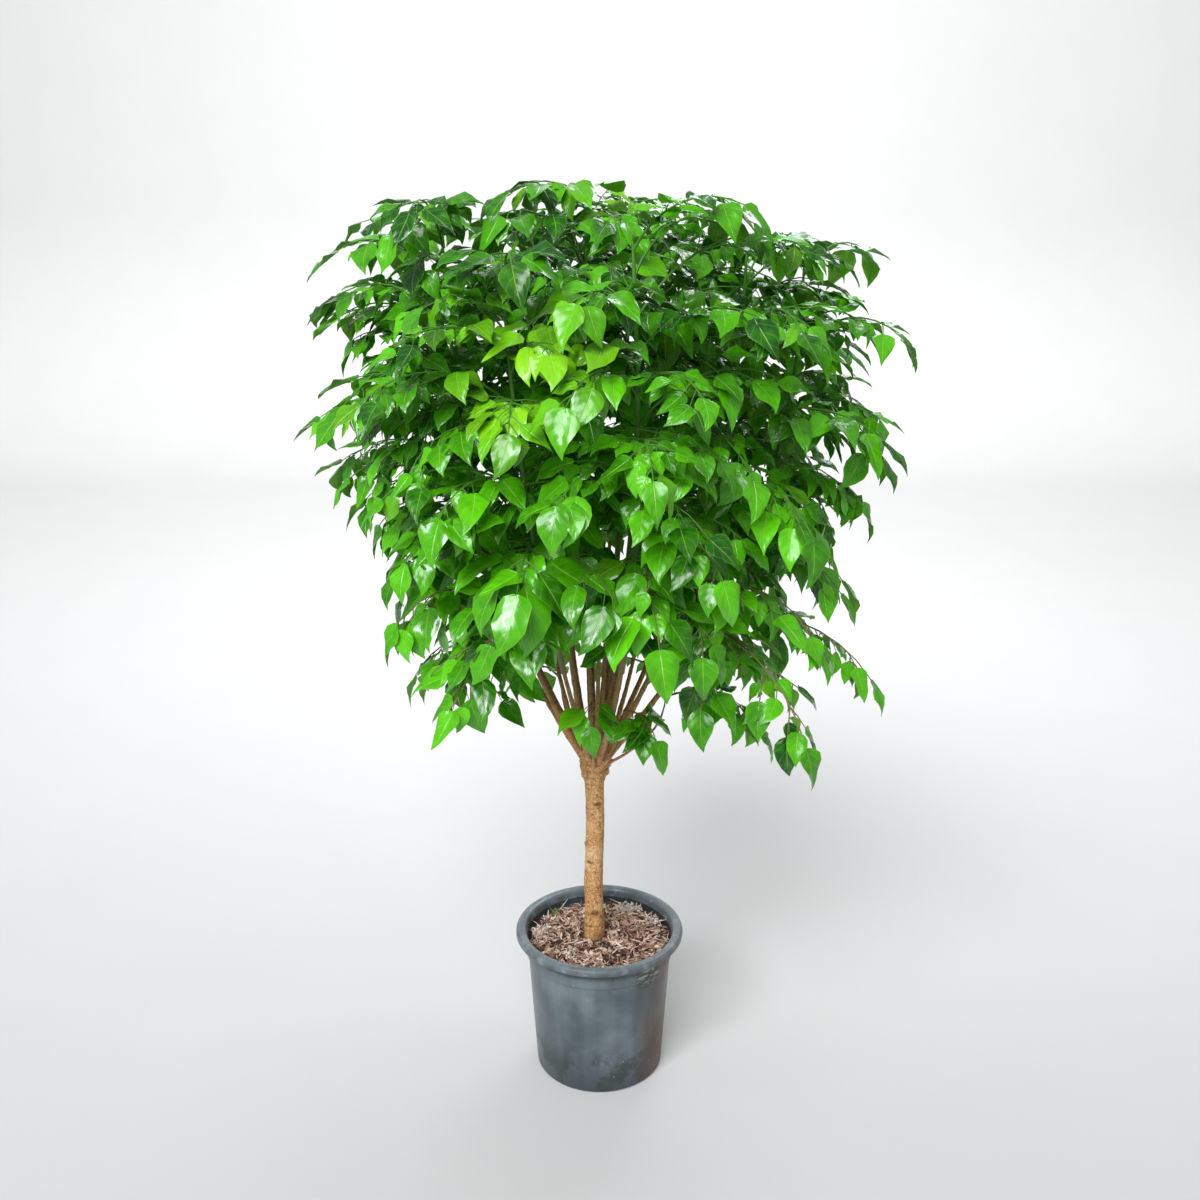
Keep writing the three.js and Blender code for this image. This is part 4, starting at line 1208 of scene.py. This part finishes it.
def heapTufts(models, rng):  # weathered, whitish tufts of fibre
    bits = []
    for across, back, count, spread in soilForm["tufts"]:
        for _ in range(count):
            x, y = across + rng.gauss(0, spread), back + rng.gauss(0, spread * 0.7)
            if math.hypot(x, y) < soilForm["edge"] - soilForm["tuftMargin"]:
                place = bitPlace(x, y, lift=abs(rng.gauss(0, spread / 2)) + 1, spin=rng.uniform(0, 6.28),
                                 tilts=(rng.gauss(0, 0.6), rng.gauss(0, 0.6)), size=rng.uniform(0.4, 0.9))
                bits.append(copyOf(rng.choice(models), place, {"tone": rng.uniform(0.1, 0.95)}))
    return bits


def growSeedlings(material, rng):
    bits = []
    for _ in range(soilForm["sproutBits"]):
        x, y = (at + rng.gauss(0, 7) for at in soilForm["sprouts"])
        if math.hypot(x, y) < soilForm["edge"] - soilForm["sproutMargin"]:
            way, rise = rng.uniform(0, 6.28), rng.uniform(12, 24)
            low, high = soilHeight(x, y) - 2, soilHeight(x, y) + rise
            line = [((x + out * math.cos(way), y + out * math.sin(way), mix(low, high, share)), radius)
                    for out, share, radius in ((0, 0, 0.8), (3, 0.6, 0.8), (10, 1, 0.4))]
            bits.append(tubes("sprout", [line], 4, material))
    return bits


def makeSoil():
    look, rng = soilForm, random.Random(11)
    deselectAll()
    bpy.ops.mesh.primitive_circle_add(vertices=look["sides"], radius=look["edge"] * mm, fill_type="NGON")
    piece = named("soil_bed")
    bpy.ops.object.mode_set(mode="EDIT")
    for _ in range(look["rings"]):
        bpy.ops.mesh.inset(thickness=look["edge"] * mm / (look["rings"] + 1))
    bpy.ops.mesh.poke()
    selectVerts(piece, lambda co: co.length > (look["edge"] - 0.2) * mm)
    bpy.ops.mesh.extrude_edges_move(TRANSFORM_OT_translate={"value": (0, 0, -0.1)})
    share = look["foot"] / look["edge"]
    bpy.ops.transform.resize(value=(share, share, 1), center_override=(0, 0, -0.1))
    bpy.ops.mesh.edge_face_add()
    bpy.ops.object.mode_set(mode="OBJECT")
    for vert in piece.data.vertices:
        x, y, z = vert.co
        if z < -0.05:
            vert.co.z = look["bottom"] * mm
            continue
        vert.co.z = soilHeight(x / mm, y / mm) * mm + rng.uniform(*look["rough"]) * mm
        if math.hypot(x, y) < (look["edge"] - 2) * mm:
            vert.co.x += rng.uniform(-look["shift"], look["shift"]) * mm
            vert.co.y += rng.uniform(-look["shift"], look["shift"]) * mm
    piece.data.materials.append(makeSoilMaterial())
    settled(piece)
    bpy.ops.object.shade_smooth()
    finishes = {name: makeBitMaterial(name) for name in bitLook}
    kinds = {name: [model(first + k, finishes[finish], *size) for k, size in enumerate(sizes)]
             for name, (model, finish, _, first, sizes) in litter.items()}
    bits = []
    for name, models in kinds.items():
        bits += scatterBits(models, litter[name][2], rng)
    bits += heapTufts(kinds["tufts"], rng)
    bits += growSeedlings(finishes["seedling_skin"], rng)
    for models in kinds.values():
        for model in models:
            bpy.data.objects.remove(model)
    loose = joined(bits, "soil_litter")
    for one in (piece, loose):
        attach(one, "root")
        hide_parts("soil")
    return piece, loose


soilPieces = makeSoil()
print("soil:", [len(one.data.polygons) for one in soilPieces], "faces")

studio = {
    "floor": 9, "backdrop": 5.5, "bend": 1.6, "rise": 5,
    "paper": [(0, "#d4d4d4"), (1, "#d8d8d8")], "mottle": 333,  # millimetres
    "camera": (0.0012, -2.0, 1.465), "pitch": 73.7, "lens": 37.5,
    "sensor": 36, "sky": "#f6f8fa", "world": 0.3, "sun": 2.3, "sunWidth": 36, "sunFrom": (-0.28, -0.9, 0.88),
    "lights": [  # name, place, where it points, size, power, colour
        ("left_softbox", (-1.4, -2.0, 2.5), (0, 0, 1.1), 0.7, 26, "#f4f9ff"),
        ("back_softbox", (0.9, 2.2, 3.0), (0, 0, 1.2), 1.4, 24, "#f4f9ff"),
        ("backdrop_light", (0, 1.6, 4.6), (0, 5.5, 2.8), 3.0, 215, "#ffffff"),
    ],
}


def makeStudio():
    look = studio
    deselectAll()
    bpy.ops.mesh.primitive_plane_add(
        size=look["floor"], location=(0, look["backdrop"] - look["floor"] / 2, 0))
    floor = named("floor_sweep")
    bpy.ops.object.transform_apply(location=True)
    bpy.ops.object.mode_set(mode="EDIT")
    selectVerts(floor, lambda co: co.y > look["backdrop"] - 0.1)
    steps = 10  # in which the sweep bends up
    for k in range(steps):
        slope, step = (k + 0.5) / steps * 90 * turn, look["bend"] * math.pi / 2 / steps
        bpy.ops.mesh.extrude_edges_move(TRANSFORM_OT_translate={
            "value": (0, step * math.cos(slope), step * math.sin(slope))})
    bpy.ops.mesh.extrude_edges_move(TRANSFORM_OT_translate={"value": (0, 0, look["rise"])})
    bpy.ops.object.mode_set(mode="OBJECT")
    bpy.ops.object.shade_smooth()
    # Seamless background paper: dull wood pulp, nearly even.
    material, tree, shader = newMaterial("matt_background_paper", Roughness=0.95)
    place = addNode(tree, "TexCoord", out=3)
    fibre = addNode(tree, "TexNoise", {0: place, "Scale": perMetre(look["mottle"]), "Detail": 3})
    colour = addNode(tree, "ValToRGB", {0: fibre}, stops=look["paper"])
    tree.links.new(colour, shader.inputs["Base Color"])
    floor.data.materials.append(material)
    for name, place, target, size, power, colour in look["lights"]:
        light = bpy.data.lights.new(name, "AREA")
        light.shape, light.size, light.energy, light.color = "DISK", size, power, hexColour(colour)[:3]
        lamp = bpy.data.objects.new(name, light)
        lamp.location = place
        lamp.rotation_euler = (Vector(target) - Vector(place)).to_track_quat("-Z", "Y").to_euler()
        bpy.context.scene.collection.objects.link(lamp)
    sun = bpy.data.lights.new("key_light", "SUN")
    sun.energy, sun.angle = look["sun"], look["sunWidth"] * turn
    key = bpy.data.objects.new("key_light", sun)
    key.rotation_euler = (-Vector(look["sunFrom"])).to_track_quat("-Z", "Y").to_euler()
    bpy.context.scene.collection.objects.link(key)
    world = bpy.data.worlds.new("soft_sky")
    world.use_nodes = True
    world.node_tree.nodes["Background"].inputs[0].default_value = hexColour(look["sky"])
    world.node_tree.nodes["Background"].inputs[1].default_value = look["world"]
    bpy.context.scene.world = world
    camera = bpy.data.cameras.new("camera")
    camera.lens, camera.sensor_width = look["lens"], look["sensor"]
    viewer = bpy.data.objects.new("camera", camera)
    viewer.location = look["camera"]
    viewer.rotation_euler = (look["pitch"] * turn, 0, 0)
    bpy.context.scene.collection.objects.link(viewer)
    bpy.context.scene.camera = viewer
    bpy.context.scene.view_settings.view_transform = "Standard"


makeStudio()
meshes = [one.data for one in bpy.data.objects if one.type == "MESH"]
triangles = sum(len(face.vertices) - 2 for mesh in meshes for face in mesh.polygons)
print("studio: floor, lights and camera placed;", triangles, "triangles in all")
